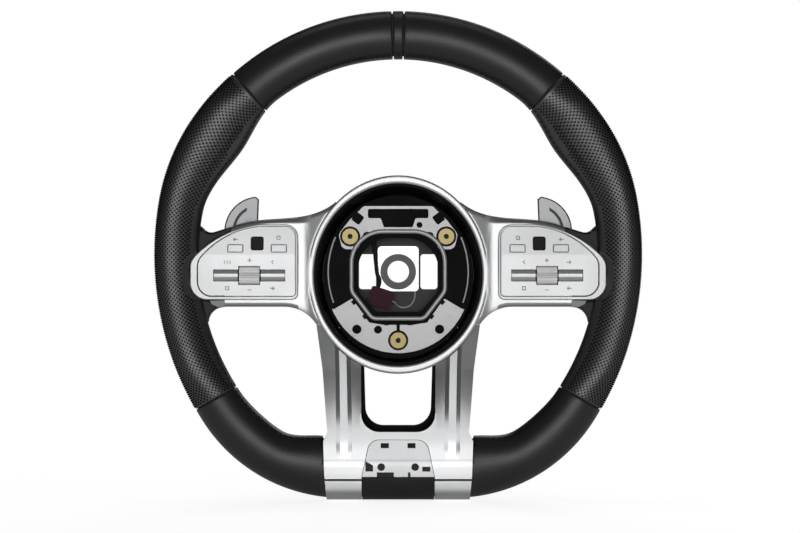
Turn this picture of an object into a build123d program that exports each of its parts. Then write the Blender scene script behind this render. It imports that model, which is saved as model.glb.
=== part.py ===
from build123d import *
import os
from functools import cache
from math import acos, atan2, ceil, cos, hypot, pi, radians, sin

# A flat-bottomed car steering wheel with its airbag module removed.
# Millimetres and degrees. The origin is on the steering column axis, +Z points to 12 o'clock,
# -Y to the driver and +X to the driver's right. Pieces that come in pairs are drawn on the +X side.
# Headings run clockwise from 12 o'clock along the rim.

# Rim
rim_top = 200.8                                   # outer edge above the column axis
rim_arc_radii = (192.1, 157.8, 242.6, 127.3)      # outer edge, from 12 o'clock down to the flat
rim_arc_ends = (55.0, 79.9, 121.5, 180.0)         # heading where each arc ends
rim_plane = -58.0                                 # middle plane of the rim
rim_depth = 32.0                                  # thickness from front to back
rim_fullness = 0.58                               # roundness of the section, 0.552 is an ellipse
rim_width_top = 37.3
rim_width_thumb = 45.0                            # thumb rest above the side spokes
rim_width_side = 34.0
rim_width_low = 38.5
rim_width_flat = 46.5
thumb_heading = 55.0
thumb_start = 37.0                                # headings where the width starts to change
thumb_end = 84.0
side_end = 100.0
low_start = 140.0
low_end = 148.0
flat_start = 170.0
section_step = 7.0                                # heading between two lofted sections
cut_reach = 15.0                                  # by which a cut outruns the section
core_radius = 6.5                                 # steel hoop
core_depth = 18.5                                 # hoop centre below the outer edge
leather_thickness = 1.4
glue_gap = 0.3
band_half_width = 4.2                             # 12 o'clock band
band_groove = 0.9
upper_seam_heading = 41.5
lower_seam_heading = 119.5
seam_gap = 0.5

# Hub ring and shroud
ring_centre_z = -2.1
ring_half_width = 69.1
ring_half_height = 76.3
ring_wall = 4.1
ring_wall_ends = 6.0                              # wall at 12 and 6 o'clock
ring_front = -64.0
ring_back = -43.0
ring_rounding = 1.9
shroud_wall = 2.0
shroud_front = -61.0
shroud_back = -37.0
shroud_half_width = 61.0
shroud_half_height = 66.0
shroud_drop = 2.0                                 # back end below the ring's centre

# Side spokes
wing_front = -58.5
wing_wall = 2.5
wing_skin = 5.5                                   # front wall
wing_top_outer = (128.2, 34.7)
wing_top_mid = (108.6, 39.7)
wing_top_inner = (74.3, 42.7)
wing_top_root = (48.0, 54.0)
wing_low_outer = (134.6, -27.0)
wing_low_bend = (88.0, -27.0)
wing_low_corner = (63.1, -40.6)
wing_low_root = (46.0, -40.6)
wing_rounding = 3.4                               # front edges
flute_x = 73.0                                    # scoop beside the ring
flute_z = 6.5
flute_half_length = 31.0
flute_radius = 6.4
flute_depth = 2.0
root_top_z = 31.0                                 # leather spoke roots
root_low_z = -27.4
root_fillet = 10.0
root_top_x = 141.0
root_low_x = 135.2
root_front = -61.0
root_back = -42.2
root_rounding = 3.0

# Switch panels
panel_hub = 77.0
panel_end = 160.0
panel_top = 36.5
panel_low = -21.5
panel_shoulder_x = 106.0
panel_shoulder_z = 8.0
panel_shoulder_rise = 6.0
panel_front = -63.0
panel_corner_top = 10.0
panel_corner_low = 5.0
panel_corner_end = 13.0
border_hub = 2.4
border_top = 2.4
border_end = 6.3
border_low = 3.3
frame_rounding = 0.8
face_gap = 0.5
face_front = -62.0
face_back = -58.6
crease_z = 13.2
crease_lean = 1.8                                 # how far the top edge leans back
housing_inset = 2.0                               # inside the face plate's edge
housing_end_inset = 8.0
housing_back = -48.5
housing_wall = 1.6
housing_clearance = 0.4
board_thickness = 1.6
board_low_z = 7.0
board_gap = 0.4

# Controls on a panel
control_x = 114.5
control_z = -2.8
control_axis_y = -57.0
roller_radius = 7.1
roller_width = 15.4
roller_window_width = 16.9
roller_window_height = 14.6
roller_ribs = 36
roller_rib_depth = 0.35
trunnion_radius = 1.2
trunnion_clearance = 0.05
trunnion_gap = 0.4
bearing_thickness = 3.0
bearing_half_height = 2.6
bearing_gap = 0.5
rocker_length = 18.2
rocker_height = 8.2
rocker_front = -61.3
rocker_ridge = 0.9
rocker_thickness = 2.4
slot_gap = 0.5
slot_corner = 0.2
button_z = 18.0
button_spread = 16.7                              # either side of the touch pad
button_width = 10.8
button_height = 4.8
button_front = -62.1
button_corner = 1.2
button_travel = 0.8
pad_x = 108.4
pad_z = 21.8
pad_width = 9.4
pad_height = 10.1
pad_front = -61.5
pad_corner = 1.5
pad_dish = 0.6
cap_gap = 0.35
flange_lip = 0.8
flange_thickness = 1.2
stem_radius = 1.5
stem_clear = 0.2

# Paddles
paddle_front = -26.0
paddle_thickness = 4.0
paddle_tip = (111.8, 58.9)
paddle_inner_tip = (109.3, 56.8)
paddle_upper_bulge = (130.5, 48.6)
paddle_side = (136.3, 30.0)
paddle_lower_bulge = (134.0, 4.0)
paddle_foot = (123.0, -16.0)
paddle_inner_x = 112.0
paddle_groove_inset = 6.5
paddle_groove_width = 2.2
paddle_groove_depth = 2.4
paddle_rounding = 1.2
hinge_x = 75.0
hinge_y = -22.5
hinge_z = 3.0
hinge_half_height = 12.0
hinge_barrel_radius = 3.4
pin_radius = 1.5
pin_clearance = 0.05
lug_thickness = 4.0
lug_gap = 0.35
bracket_plate = 2.6

# Lower spokes
leg_top_z = -41.0
leg_mid_z = -75.0
leg_low_z = -122.5
leg_outer = (63.1, 58.2, 54.3)                    # at the three heights above
leg_inner = (28.8, 28.8, 28.4)
leg_ridge_outer = (46.2, 45.0, 44.2)
leg_ridge_inner = (40.6, 39.5, 38.4)
leg_ridge_flank = 3.2                             # width of the ridge's steep sides
leg_outer_flank = (2.0, 2.2, 1.3)                 # how far these fall back
leg_inner_flank = (3.0, 2.8, 1.3)
leg_outer_fall = (5.0, 4.4, 1.3)                  # how far the edges lie behind the ridge
leg_inner_fall = (6.0, 5.2, 1.3)
ridge_end_z = -143.0                              # where the ridge runs out on the feet
ridge_end_lift = 0.02
leg_front = -58.0                                 # front of the ridge at the top
leg_back = -47.0
leg_wall = 2.5
foot_top = (57.3, -129.5)
foot_mid = (56.4, -155.0)
foot_low = (51.4, -172.0)
trim_proud = 1.2                                  # trim stands out from the leather
trim_wrap_back = -52.0                            # front trim ends here under the rim
trim_gap = 0.4
opening_corner = 14.0
rear_opening_inset = 3.4
rear_opening_taper = 2.6                          # the rear opening is this much wider at the top
foot_crease_z = -159.0
foot_crease_width = 1.6
foot_crease_depth = 0.4
plate_top_z = -128.2
plate_low_z = -156.5
plate_half_top = 22.0
plate_half_low = 28.0
plate_corner = 9.0
plate_sunk = 0.9
plate_thickness = 1.4
badge_hole_radius = 2.9
badge_hole_z = -149.0
badge_hole_spacing = 25.9
badge_slot_z = -132.8
badge_slot_x = 10.2
badge_slot_size = (6.2, 3.8)
badge_corner_hole = ((-25.0, -144.6), (-19.2, -147.6), (-19.2, -152.4), (-25.0, -152.4))
badge_side_hole = (21.5, -150.6, 6.2, 3.7)        # x, z, width and height
badge_notches = ((-9.8, 13.0), (8.4, 1.9))        # x and width, open at the lower edge
badge_notch_top = -153.0

# Hub
column_bore_radius = 8.6
boss_collar_radius = 13.7
boss_collar_front = -24.0
boss_front = -20.0
boss_back = 4.0
boss_half_width = 16.0
boss_top = 20.0
boss_low = -15.3
boss_corner = 3.0
boss_groove = (10.4, 11.4)                        # radii of the ring turned into the collar
boss_groove_depth = 0.9
boss_neck_radius = 15.0
hub_front = -16.0
hub_back = -8.0
hub_half_width = 46.0
hub_top = 38.0
hub_low = -46.0
hub_corner = 14.0
window_inner = 17.5
window_outer = 31.0
window_half_height = 13.8
window_corner = 2.5
fit_gap = 0.05

# Arms of the casting
arm_low_z = -8.0
arm_top_z = 14.0
arm_neck_x = 48.0                                 # where a side arm leaves the hub plate
arm_neck_run = 8.0
arm_neck = 6.0                                    # thickness behind the shroud
arm_step = 1.6
arm_pass_front = -42.4                            # where the side arms pass behind the ring
arm_pass_back = -37.0
arm_front = -48.0
arm_back = -44.4
arm_bend_x = 146.7                                # where a side arm rises to the hoop
arm_end_length = 8.2                              # half the block that holds the hoop
leg_arm_x = 42.0
leg_arm_half_width = 4.5
leg_arm_front = -53.0
leg_arm_back = -48.0
arm_clearance = 0.4

# Airbag carrier
carrier_half_width = 58.4
carrier_half_height = 63.4
carrier_front = -41.0
carrier_back = -37.0
carrier_plate = 2.5
bush_upper = (37.3, 27.4)
bush_lower = (0.0, -53.2)
bush_radius = 6.1
bush_bore_radius = 2.0
bush_front = -46.0
grommet_radius = 7.8
grommet_front = -43.5
post_radius = 6.6
post_top = -35.0
wire_radius = 1.7
wire_half_width = 36.3
wire_top = 31.3
wire_low = -36.3
wire_bend_z = -15.0
wire_foot = 20.0
wire_corners = (24.5, 24.5, 9.0, 7.0, 7.0, 9.0)
spring_radius = 0.75
spring_ends = ((48.8, 27.0), (50.2, -24.0))
spring_middle = (54.4, 2.5)
upper_plate_top = 51.0
upper_plate_half_top = 26.6
upper_plate_shoulder = (37.5, 40.5)
upper_plate_side = (46.3, 29.2)
upper_plate_foot = (43.5, 17.5)
upper_plate_edge = 31.0
upper_plate_rounding = 3.0
upper_plate_ear = 5.0                             # rounding beside the bushes
upper_ring = (25.8, 34.4)                         # small raised rings
slot_top = 48.8
slot_mid = 41.6
slot_low = 34.6
slot_half_wide = 23.5
slot_half_narrow = 13.4
slot_half_foot = 11.2
t_slot_corner = 1.5
square_hole = (31.4, 41.5, 7.6, 38.0)             # x, z, side, turn
round_hole = (16.5, 36.4, 2.3)
lower_plate_radius = 55.6
lower_plate_centre_z = -7.5
lower_plate_end = (49.8, -29.0)
lower_plate_tip = (35.9, -20.9)
lower_plate_inner = (31.0, -27.4)
lower_plate_bend = (22.5, -39.4)
lower_plate_mid = -41.2
lower_clip = (32.1, -44.6, 5.2, 3.6)              # x, z, outer and inner radius
lower_hole = (15.7, -44.9, 3.1)
lower_ring = (39.7, -37.0)
raised_ring = (2.4, 1.5)                          # outer and inner radius
raised_ring_height = 0.6
lower_rib = (42.2, -27.8, 11.0, 2.2, -32.0)       # x, z, length, width, turn
lower_notch_half = 1.3                            # slot above the lowest bush
clip_size = 3.4
clip_steps = (0.30, 0.82)                         # along the wire's sloping runs
clip_foot_x = 9.0                                 # on its lowest run
block_half_width = 23.0
block_top = 48.2
block_low = 35.2
plug_centre = (-13.6, -20.4)
plug_size = (18.6, 14.6, 9.0)                     # along, across, deep
plug_turn = -18.0
plug_gap = 0.3
plug_corner = 2.0
plug_rib = (2.6, 1.6)                             # width and height of the ribs on its front
plug_rib_places = (0.8, 5.6)
lead_radius = 1.6
lead_y = -22.0
lead_points = ((-18.9, 22.0), (-17.6, 8.0), (-16.6, -2.0))
earth_radius = 0.65
bend_share = 0.45                                 # of the shorter run, taken by a bend
earth_y = (-21.6, -17.4)                           # at the plug and at the boss
earth_points = ((0.0, -27.6), (5.5, -28.6), (10.6, -26.0), (13.2, -20.8))

# Rear covers
cover_wall = 2.4
cover_gap = 0.3
rear_cover_back = 10.0
rear_cover_half_width = 54.0
rear_cover_half_height = 60.0
rear_cover_hole = 40.0
spoke_cover_hub_back = -29.5
spoke_cover_end_back = -38.6
leg_cover_hub_back = -23.0
leg_cover_end_back = -40.0
screw_head_radius = 3.2
screw_head_height = 1.8
screw_slot = 1.0


# Shared drawing helpers
def front_plane(y):
    return Plane.XZ.offset(-y)


def prism(face, front, back):
    return extrude(front_plane(back) * face, amount=back - front)


def along_x(face, low, high):
    return extrude(Plane.YZ.offset(low) * face, amount=high - low)


def along_z(face, low, high):
    return extrude(Plane.XY.offset(low) * face, amount=high - low)


def rod(point, radius, front, back):
    return prism(Pos(*point) * Circle(radius), front, back)


def rod_x(radius, low, high, y, z):
    return along_x(Pos(y, z) * Circle(radius), low, high)


def rod_z(radius, low, high, x, y):
    return along_z(Pos(x, y) * Circle(radius), low, high)


def polygon(*points):
    return make_face(Polyline(*points, close=True))


def rounded_polygon(points, radii):
    return make_face(FilletPolyline(*points, radius=radii, close=True))


def box_between(low, high):
    size = [b - a for a, b in zip(low, high)]
    middle = [(a + b) / 2 for a, b in zip(low, high)]
    return Pos(*middle) * Box(*size)


def mirrored(solid):
    return mirror(solid, about=Plane.YZ)


def with_mirror(solid):
    return solid + mirrored(solid)


def oval(half_width, half_height, centre_z, y):
    return front_plane(y) * Pos(0, centre_z) * Ellipse(half_width, half_height)


def swept(path, radius):
    start = Plane(origin=path @ 0, z_dir=path % 0)
    return sweep(start * Circle(radius), path=path)


# Rim
def rim_edge(heading):
    x = 0.0
    z = rim_top
    start = 0.0
    for radius, end in zip(rim_arc_radii, rim_arc_ends):
        turn = max(start, min(heading, end))
        x += radius * (sin(radians(turn)) - sin(radians(start)))
        z += radius * (cos(radians(turn)) - cos(radians(start)))
        start = end
    return x, z


rim_flat_x, rim_bottom = rim_edge(180.0)
rim_width_knots = (
    (0.0, rim_width_top), (thumb_start, rim_width_top), (thumb_heading, rim_width_thumb),
    (thumb_end, rim_width_side), (side_end, rim_width_side), (low_start, rim_width_low),
    (low_end, rim_width_low), (flat_start, rim_width_flat), (180.0, rim_width_flat))


def rim_width(heading):
    for (low, start), (high, end) in zip(rim_width_knots, rim_width_knots[1:]):
        if heading <= high:
            share = (heading - low) / (high - low)
            return start + (end - start) * share * share * (3 - 2 * share)
    return rim_width_flat


def soft_oval(a, b):
    # Four curves, so that every section starts at the same place
    k = rim_fullness
    return make_face([
        Bezier((a, 0), (a, k * b), (k * a, b), (0, b)),
        Bezier((0, b), (-k * a, b), (-a, k * b), (-a, 0)),
        Bezier((-a, 0), (-a, -k * b), (-k * a, -b), (0, -b)),
        Bezier((0, -b), (k * a, -b), (a, -k * b), (a, 0))])


def rim_section(heading, inset):
    edge_x, edge_z = rim_edge(abs(heading))
    edge_x = edge_x if heading >= 0 else -edge_x
    width = rim_width(abs(heading))
    turn = radians(heading)
    outward = Vector(sin(turn), 0, cos(turn))
    middle = Vector(edge_x, rim_plane, edge_z) - outward * (width / 2)
    plane = Plane(middle, x_dir=outward, z_dir=(cos(turn), 0, -sin(turn)))
    return plane * soft_oval(width / 2 - inset, rim_depth / 2 - inset)


def headings_between(start, end):
    steps = ceil((end - start) / section_step)
    return [start + (end - start) * i / steps for i in range(steps + 1)]


@cache
def rim_body(inset):
    # Right half of the rim down to the flat bottom
    return loft([rim_section(heading, inset) for heading in headings_between(0.0, 180.0)])


def rim_sector(start, end):
    # Front view of the rim between two headings
    outer = []
    inner = []
    for heading in headings_between(start, end):
        x, z = rim_edge(heading)
        turn = radians(heading)
        depth = rim_width(heading) + cut_reach
        outer.append((x + cut_reach * sin(turn), z + cut_reach * cos(turn)))
        inner.append((x - depth * sin(turn), z - depth * cos(turn)))
    return prism(polygon(*outer, *reversed(inner)), rim_plane - rim_depth, rim_plane + rim_depth)


def heading_for(length):
    return length / rim_arc_radii[0] * 180 / pi


def rim_skin(start, end):
    return (rim_body(0.0) & rim_sector(start, end)) - rim_body(leather_thickness)


def root_outline(inset, reach):
    # Leather spoke root: hollow corners run from the spoke's edges into the rim
    radius = root_fillet + inset
    inside = rim_edge(90.0)[0] - rim_width_side / 2
    top_start = (wing_top_outer[0] + reach, wing_top_outer[1] - inset)
    low_start = (wing_low_outer[0] + reach, root_low_z + inset)
    top_end = (root_top_x, root_top_z - inset)
    low_end = (root_low_x, root_low_z + inset)
    fall = atan2(top_start[1] - top_end[1], top_end[0] - top_start[0]) * 180 / pi
    top_edge = Line(top_start, top_end)
    low_edge = Line(low_start, low_end)
    top_arc = JernArc(top_end, top_edge % 1, radius, 90 + fall)
    low_arc = JernArc(low_end, low_edge % 1, radius, -90)
    return make_face([
        top_edge, top_arc, Line(top_arc @ 1, (inside, (top_arc @ 1).Y)),
        Line((inside, (top_arc @ 1).Y), (inside, (low_arc @ 1).Y)),
        Line((inside, (low_arc @ 1).Y), low_arc @ 1), low_arc, low_edge, Line(low_start, top_start)])


def panel_outline(hub, top, end, low, shrink):
    # Outline of a switch panel, drawn in from its edges by the four given amounts
    x0 = panel_hub + hub
    x1 = panel_end - end
    z0 = panel_low + low
    z1 = panel_top - top
    face = make_face([
        Line((x0, z0), (x0, z1)),
        Line((x0, z1), (panel_shoulder_x, z1)),
        SagittaArc((panel_shoulder_x, z1), (x1, panel_shoulder_z), panel_shoulder_rise),
        Line((x1, panel_shoulder_z), (x1, z0)),
        Line((x1, z0), (x0, z0))])
    corners = (((x0, z1), panel_corner_top), ((x0, z0), panel_corner_low),
               ((x1, z0), panel_corner_end), ((x1, panel_shoulder_z), panel_corner_end))
    for (x, z), radius in corners:
        corner = face.vertices().sort_by_distance((x, z, 0))[0]
        face = fillet(corner, max(radius - shrink, radius / 3))
    return face


def frame_outline(grow=0.0):
    return panel_outline(-grow, -grow, -grow, -grow, -grow)


def face_outline(inset=0.0):
    return panel_outline(border_hub + inset, border_top + inset, border_end + inset, border_low + inset,
                         border_top + inset)


def housing_outline(inset=0.0):
    edge = housing_inset + inset
    end = border_end + housing_end_inset + inset
    return panel_outline(border_hub + edge, border_top + edge, end, border_low + edge, border_top + edge)


def panel_pocket(clearance):
    # Room that a switch panel takes out of the spoke root and the rim
    seat = prism(frame_outline(clearance), rim_plane - rim_depth, wing_front + clearance)
    well = prism(housing_outline(-clearance), rim_plane - rim_depth, housing_back + clearance)
    return seat + well


def core_point(heading):
    x, z = rim_edge(heading)
    turn = radians(heading)
    return x - core_depth * sin(turn), rim_plane, z - core_depth * cos(turn)


def core_path():
    right = []
    for start, end in zip((0.0, *rim_arc_ends), rim_arc_ends):
        right.append(ThreePointArc(*(core_point(heading) for heading in (start, (start + end) / 2, end))))
    left = [mirror(edge, about=Plane.YZ) for edge in reversed(right)]
    low_x, low_y, low_z = core_point(180.0)
    base = Line((low_x, low_y, low_z), (-low_x, low_y, low_z))
    return Wire([edge for curve in (*right, base, *left) for edge in curve.edges()])


def rim_core(grow=0.0):
    return swept(core_path(), core_radius + grow)


def rim_foam():
    inset = leather_thickness + glue_gap
    half = rim_body(inset) + along_x(rim_end_view(trim_proud + inset), 0.0, rim_flat_x)
    half += prism(root_outline(inset, trim_gap), root_front + inset, root_back - inset)
    half -= panel_pocket(housing_clearance)
    foam = half + mirrored(half)
    return foam - rim_core(fit_gap) - casting_arms(arm_clearance)


def leather_top():
    start = heading_for(band_half_width + band_groove)
    return rim_skin(start, upper_seam_heading - heading_for(seam_gap / 2))


def marker_band():
    return with_mirror(rim_skin(0.0, heading_for(band_half_width)))


def leather_grip():
    gap = heading_for(seam_gap / 2)
    start = upper_seam_heading + gap
    end = lower_seam_heading - gap
    root = prism(root_outline(0.0, trim_gap), root_front, root_back)
    inside = root_top_x + root_fillet
    level = [edge for edge in root.edges() if abs((edge % 0).Y) < abs((edge % 0).X) + abs((edge % 0).Z)]
    rims = [edge for edge in level
            if abs(edge.center().Z) > -root_low_z - root_rounding and edge.center().X < inside]
    root = fillet(rims, root_rounding)
    skin = leather_thickness
    hollow = prism(root_outline(skin, -trim_gap), root_front + skin, root_back - skin)
    grip = rim_skin(start, end) + (root - rim_body(skin))
    return grip - hollow - panel_pocket(housing_clearance) - casting_arms(arm_clearance)


def leather_lower():
    start = lower_seam_heading + heading_for(seam_gap / 2)
    cut = prism(lower_outline(-trim_gap), rim_plane - rim_depth, rim_plane + rim_depth)
    return rim_skin(start, flat_start + section_step) - cut


# Hub ring, wings and shroud
def ring_prism(half_width, half_height, front, back):
    return prism(Pos(0, ring_centre_z) * Ellipse(half_width, half_height), front, back)


def ring_body(grow, front, back):
    return ring_prism(ring_half_width + grow, ring_half_height + grow, front, back)


def ring_hole(front, back):
    return ring_prism(ring_half_width - ring_wall, ring_half_height - ring_wall_ends, front, back)


def wing_outline(inset=0.0):
    (xa, za), (xb, zb), (xc, zc), (xd, zd) = wing_top_root, wing_top_inner, wing_top_mid, wing_top_outer
    low_z = wing_low_outer[1] + inset
    bend_x = wing_low_bend[0]
    corner = (wing_low_corner[0] + inset / 2, wing_low_corner[1] + inset)
    top = Spline((xa, za - inset), (xb, zb - inset), (xc, zc - inset), (xd - inset, zd - inset))
    bend = TangentArc((bend_x, low_z), corner, tangent=(-1, 0))
    edges = [
        top,
        Line(top @ 1, (wing_low_outer[0] - inset, low_z)),
        Line((wing_low_outer[0] - inset, low_z), (bend_x, low_z)),
        bend,
        Line(corner, (wing_low_root[0], wing_low_root[1])),
        Line(wing_low_root, (xa, za - inset))]
    return make_face(edges)


def flute():
    # A spindle that cuts a scoop with pointed ends
    near = flute_radius - flute_depth
    low = (0, flute_z - flute_half_length)
    high = (0, flute_z + flute_half_length)
    bow = ThreePointArc((near, low[1]), (flute_radius, flute_z), (near, high[1]))
    half = make_face([Line(low, bow @ 0), bow, Line(bow @ 1, high), Line(high, low)])
    return Pos(flute_x, wing_front - near, 0) * revolve(Plane.XZ * half, Axis.Z)


def wing():
    block = prism(wing_outline(), wing_front, ring_back)
    reach = abs(wing_low_outer[1]) - wing_wall
    edges = [edge for edge in block.edges().group_by(Axis.Y)[0]
             if edge.center().X > wing_low_corner[0] and abs(edge.center().Z) > reach]
    block = fillet(edges, wing_rounding) - flute()
    tray = prism(wing_outline(wing_wall), wing_front + wing_skin, ring_back)
    tray -= ring_body(wing_wall, wing_front, ring_back)
    window = prism(housing_outline(-housing_clearance), wing_front, ring_back)
    return block - tray - window - ring_body(-ring_wall / 2, wing_front, ring_back)


def hub_trim():
    ring = ring_body(0.0, ring_front, ring_back) - ring_hole(ring_front, ring_back)
    front_edges = ring.edges().group_by(Axis.Y)[0]
    ring = fillet(front_edges, ring_rounding)
    return ring + wing() + mirrored(wing())


def shroud_solid(inset):
    gap = cover_gap
    front = oval(ring_half_width - ring_wall - gap - inset, ring_half_height - ring_wall_ends - gap - inset,
                 ring_centre_z, shroud_front)
    back_z = ring_centre_z - shroud_drop
    back = oval(shroud_half_width - inset, shroud_half_height - inset, back_z, shroud_back)
    return loft([front, back])


def hub_shroud():
    return shroud_solid(0.0) - shroud_solid(shroud_wall)


# Switch panels
def switch_frame():
    frame = prism(frame_outline(), panel_front, wing_front)
    frame -= prism(face_outline(-face_gap), panel_front, wing_front)
    return fillet(frame.edges().group_by(Axis.Y)[0], frame_rounding)


def rounded_rect(x, z, width, height, corner):
    return Pos(x, z) * RectangleRounded(width, height, corner)


def slot_half_length():
    return rocker_start + rocker_length + slot_gap


rocker_start = roller_window_width / 2 + slot_gap
inner_bearing = roller_width / 2 + bearing_gap
outer_bearing = rocker_start + rocker_length - bearing_gap
board_front = housing_back - housing_wall - board_thickness


def switch_face():
    top = panel_top
    low = panel_low
    lean = face_front + crease_lean
    profile = polygon((face_front, low), (face_front, crease_z), (lean, top), (face_back, top),
                      (face_back, low))
    plate = along_x(profile, panel_hub, panel_end) & prism(face_outline(), face_front, face_back)
    slot_height = rocker_height + 2 * slot_gap
    cuts = rounded_rect(control_x, control_z, 2 * slot_half_length(), slot_height, slot_corner)
    cuts += rounded_rect(control_x, control_z, roller_window_width, roller_window_height, slot_corner)
    for side in (-1, 1):
        cuts += rounded_rect(pad_x + side * button_spread, button_z, button_width + 2 * cap_gap,
                             button_height + 2 * cap_gap, button_corner + cap_gap)
    cuts += rounded_rect(pad_x, pad_z, pad_width + 2 * cap_gap, pad_height + 2 * cap_gap,
                         pad_corner + cap_gap)
    return plate - prism(cuts, face_front, face_back)


def switch_housing():
    floor = housing_back - housing_wall
    body = prism(housing_outline(), face_back, housing_back)
    body -= prism(housing_outline(housing_wall), face_back, floor)
    for side in (-1, 1):
        for start in (inner_bearing, outer_bearing):
            ends = sorted((control_x + side * start, control_x + side * (start + bearing_thickness)))
            body += box_between((ends[0], face_back, control_z - bearing_half_height),
                                (ends[1], floor, control_z + bearing_half_height))
    window = rounded_rect(control_x, control_z, roller_width + 2 * trunnion_gap, roller_window_height,
                          slot_corner)
    body -= prism(window, floor, housing_back)
    reach = outer_bearing + bearing_thickness / 2 + trunnion_gap
    return body - rod_x(trunnion_radius + trunnion_clearance, control_x - reach, control_x + reach,
                        control_axis_y, control_z)


def switch_board():
    sheet = prism(housing_outline(housing_wall + board_gap), board_front, board_front + board_thickness)
    keep = box_between((panel_hub, rim_plane, board_low_z), (panel_end, housing_back, panel_top))
    return sheet & keep


def roller():
    points = []
    for i in range(2 * roller_ribs):
        radius = roller_radius - roller_rib_depth * (i % 2)
        turn = pi * i / roller_ribs
        points.append((control_axis_y + radius * cos(turn), control_z + radius * sin(turn)))
    half = roller_width / 2
    drum = along_x(polygon(*points), control_x - half, control_x + half)
    reach = inner_bearing + bearing_thickness / 2 - trunnion_gap / 2
    return drum + rod_x(trunnion_radius, control_x - reach, control_x + reach, control_axis_y, control_z)


def rocker(side):
    half = rocker_height / 2
    ridge = half / 3
    back = rocker_front + rocker_thickness
    profile = polygon((rocker_front, -half), (rocker_front, -ridge), (rocker_front - rocker_ridge, 0),
                      (rocker_front, ridge), (rocker_front, half), (back, half), (back, -half))
    start = rocker_start
    end = rocker_start + rocker_length
    cap = along_x(Pos(0, control_z) * profile, start, end)
    web_start = inner_bearing + bearing_thickness + bearing_gap
    web_end = outer_bearing - bearing_gap
    web = box_between((web_start, back, control_z - trunnion_radius),
                      (web_end, control_axis_y, control_z + trunnion_radius))
    axle = rod_x(trunnion_radius, inner_bearing + bearing_thickness / 2 + trunnion_gap / 2,
                 outer_bearing + bearing_thickness / 2, control_axis_y, control_z)
    bar = cap + web + axle
    if side < 0:
        bar = mirrored(bar)
    return Pos(control_x, 0, 0) * bar


def push_cap(x, z, width, height, corner, front, travel):
    # Cap, a flange that stops it behind the face plate, and a stem down to the board
    flange_front = face_back + cap_gap
    flange_back = flange_front + flange_thickness
    cap = prism(rounded_rect(x, z, width, height, corner), front, flange_back)
    flange_face = rounded_rect(x, z, width + 2 * flange_lip, height + 2 * flange_lip, corner)
    flange = prism(flange_face, flange_front, flange_back)
    stem = rod((x, z), stem_radius, flange_back, board_front - travel - stem_clear)
    return cap + flange + stem


def button(side):
    x = pad_x + side * button_spread
    return push_cap(x, button_z, button_width, button_height, button_corner, button_front, button_travel)


def touch_pad():
    pad = push_cap(pad_x, pad_z, pad_width, pad_height, pad_corner, pad_front, button_travel)
    dish_width = pad_width - 2 * pad_corner
    dish_height = pad_height - 2 * pad_corner
    return pad - prism(rounded_rect(pad_x, pad_z, dish_width, dish_height, pad_corner / 2), pad_front,
                       pad_front + pad_dish)


# Paddles
def paddle_blade():
    inner = (paddle_inner_x, paddle_foot[1])
    edges = [
        ThreePointArc(paddle_tip, paddle_upper_bulge, paddle_side),
        ThreePointArc(paddle_side, paddle_lower_bulge, paddle_foot),
        Line(paddle_foot, inner),
        Line(inner, paddle_inner_tip),
        Line(paddle_inner_tip, paddle_tip)]
    return make_face(edges)


def paddle():
    back = paddle_front + paddle_thickness
    low = hinge_z - hinge_half_height
    high = hinge_z + hinge_half_height
    blade = prism(paddle_blade(), paddle_front, back)
    blade = fillet(blade.edges().group_by(Axis.Y)[0], paddle_rounding)
    groove = offset(paddle_blade(), -paddle_groove_inset) - offset(
        paddle_blade(), -paddle_groove_inset - paddle_groove_width)
    groove &= Pos(paddle_side[0], paddle_tip[1]) * Rectangle(
        2 * (paddle_side[0] - paddle_inner_x - paddle_groove_inset), 2 * (paddle_tip[1] - hinge_z))
    blade -= prism(groove, paddle_front, paddle_front + paddle_groove_depth)
    arm = box_between((hinge_x, paddle_front, low), (paddle_inner_x + paddle_rounding, back, high))
    barrel = rod_z(hinge_barrel_radius, low, high, hinge_x, hinge_y)
    bore = rod_z(pin_radius + pin_clearance, low, high, hinge_x, hinge_y)
    return blade + arm + barrel - bore


pin_reach = hinge_half_height + lug_gap + lug_thickness


def paddle_pin():
    return rod_z(pin_radius, hinge_z - pin_reach, hinge_z + pin_reach, hinge_x, hinge_y)


def paddle_bracket():
    side = hinge_barrel_radius + lug_gap
    seat = spoke_cover_end_back
    bracket = box_between((hinge_x - side, seat, hinge_z - pin_reach),
                          (hinge_x + side, spoke_cover_back(hinge_x) + bracket_plate, hinge_z + pin_reach))
    for z in (hinge_z - pin_reach, hinge_z + hinge_half_height + lug_gap):
        bracket += box_between((hinge_x - side, seat, z), (hinge_x + side, hinge_y + side, z + lug_thickness))
    bracket -= spoke_cover_block(0.0)
    return bracket - rod_z(pin_radius, hinge_z - pin_reach, hinge_z + pin_reach, hinge_x, hinge_y)


# Lower spokes
def ridge_front(z):
    tangent_y, tangent_z = wrap_tangent(0.0)
    share = (z - leg_top_z) / (tangent_z - leg_top_z)
    return leg_front + (tangent_y - leg_front) * share


def wrap_tangent(grow):
    # Where the straight front of the legs meets the rounded rim at the flat bottom
    p = rim_depth / 2 + grow
    q = rim_width_flat / 2 + grow
    middle_z = rim_bottom + rim_width_flat / 2
    y = (leg_front - grow - rim_plane) / p
    z = (leg_top_z - middle_z) / q
    turn = atan2(z, y) + acos(1 / hypot(y, z))
    return rim_plane + p * cos(turn), middle_z + q * sin(turn)


def wrap_region(grow):
    # Side view of the flat bottom with the front of the legs, drawn as (y, z)
    middle = (rim_plane, rim_bottom + rim_width_flat / 2)
    rim = Pos(*middle) * soft_oval(rim_depth / 2 + grow, rim_width_flat / 2 + grow)
    back = rim_plane + rim_depth
    front = polygon((leg_front - grow, leg_top_z), wrap_tangent(grow), middle, (back, middle[1]),
                    (back, leg_top_z))
    return rim + front


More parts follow.
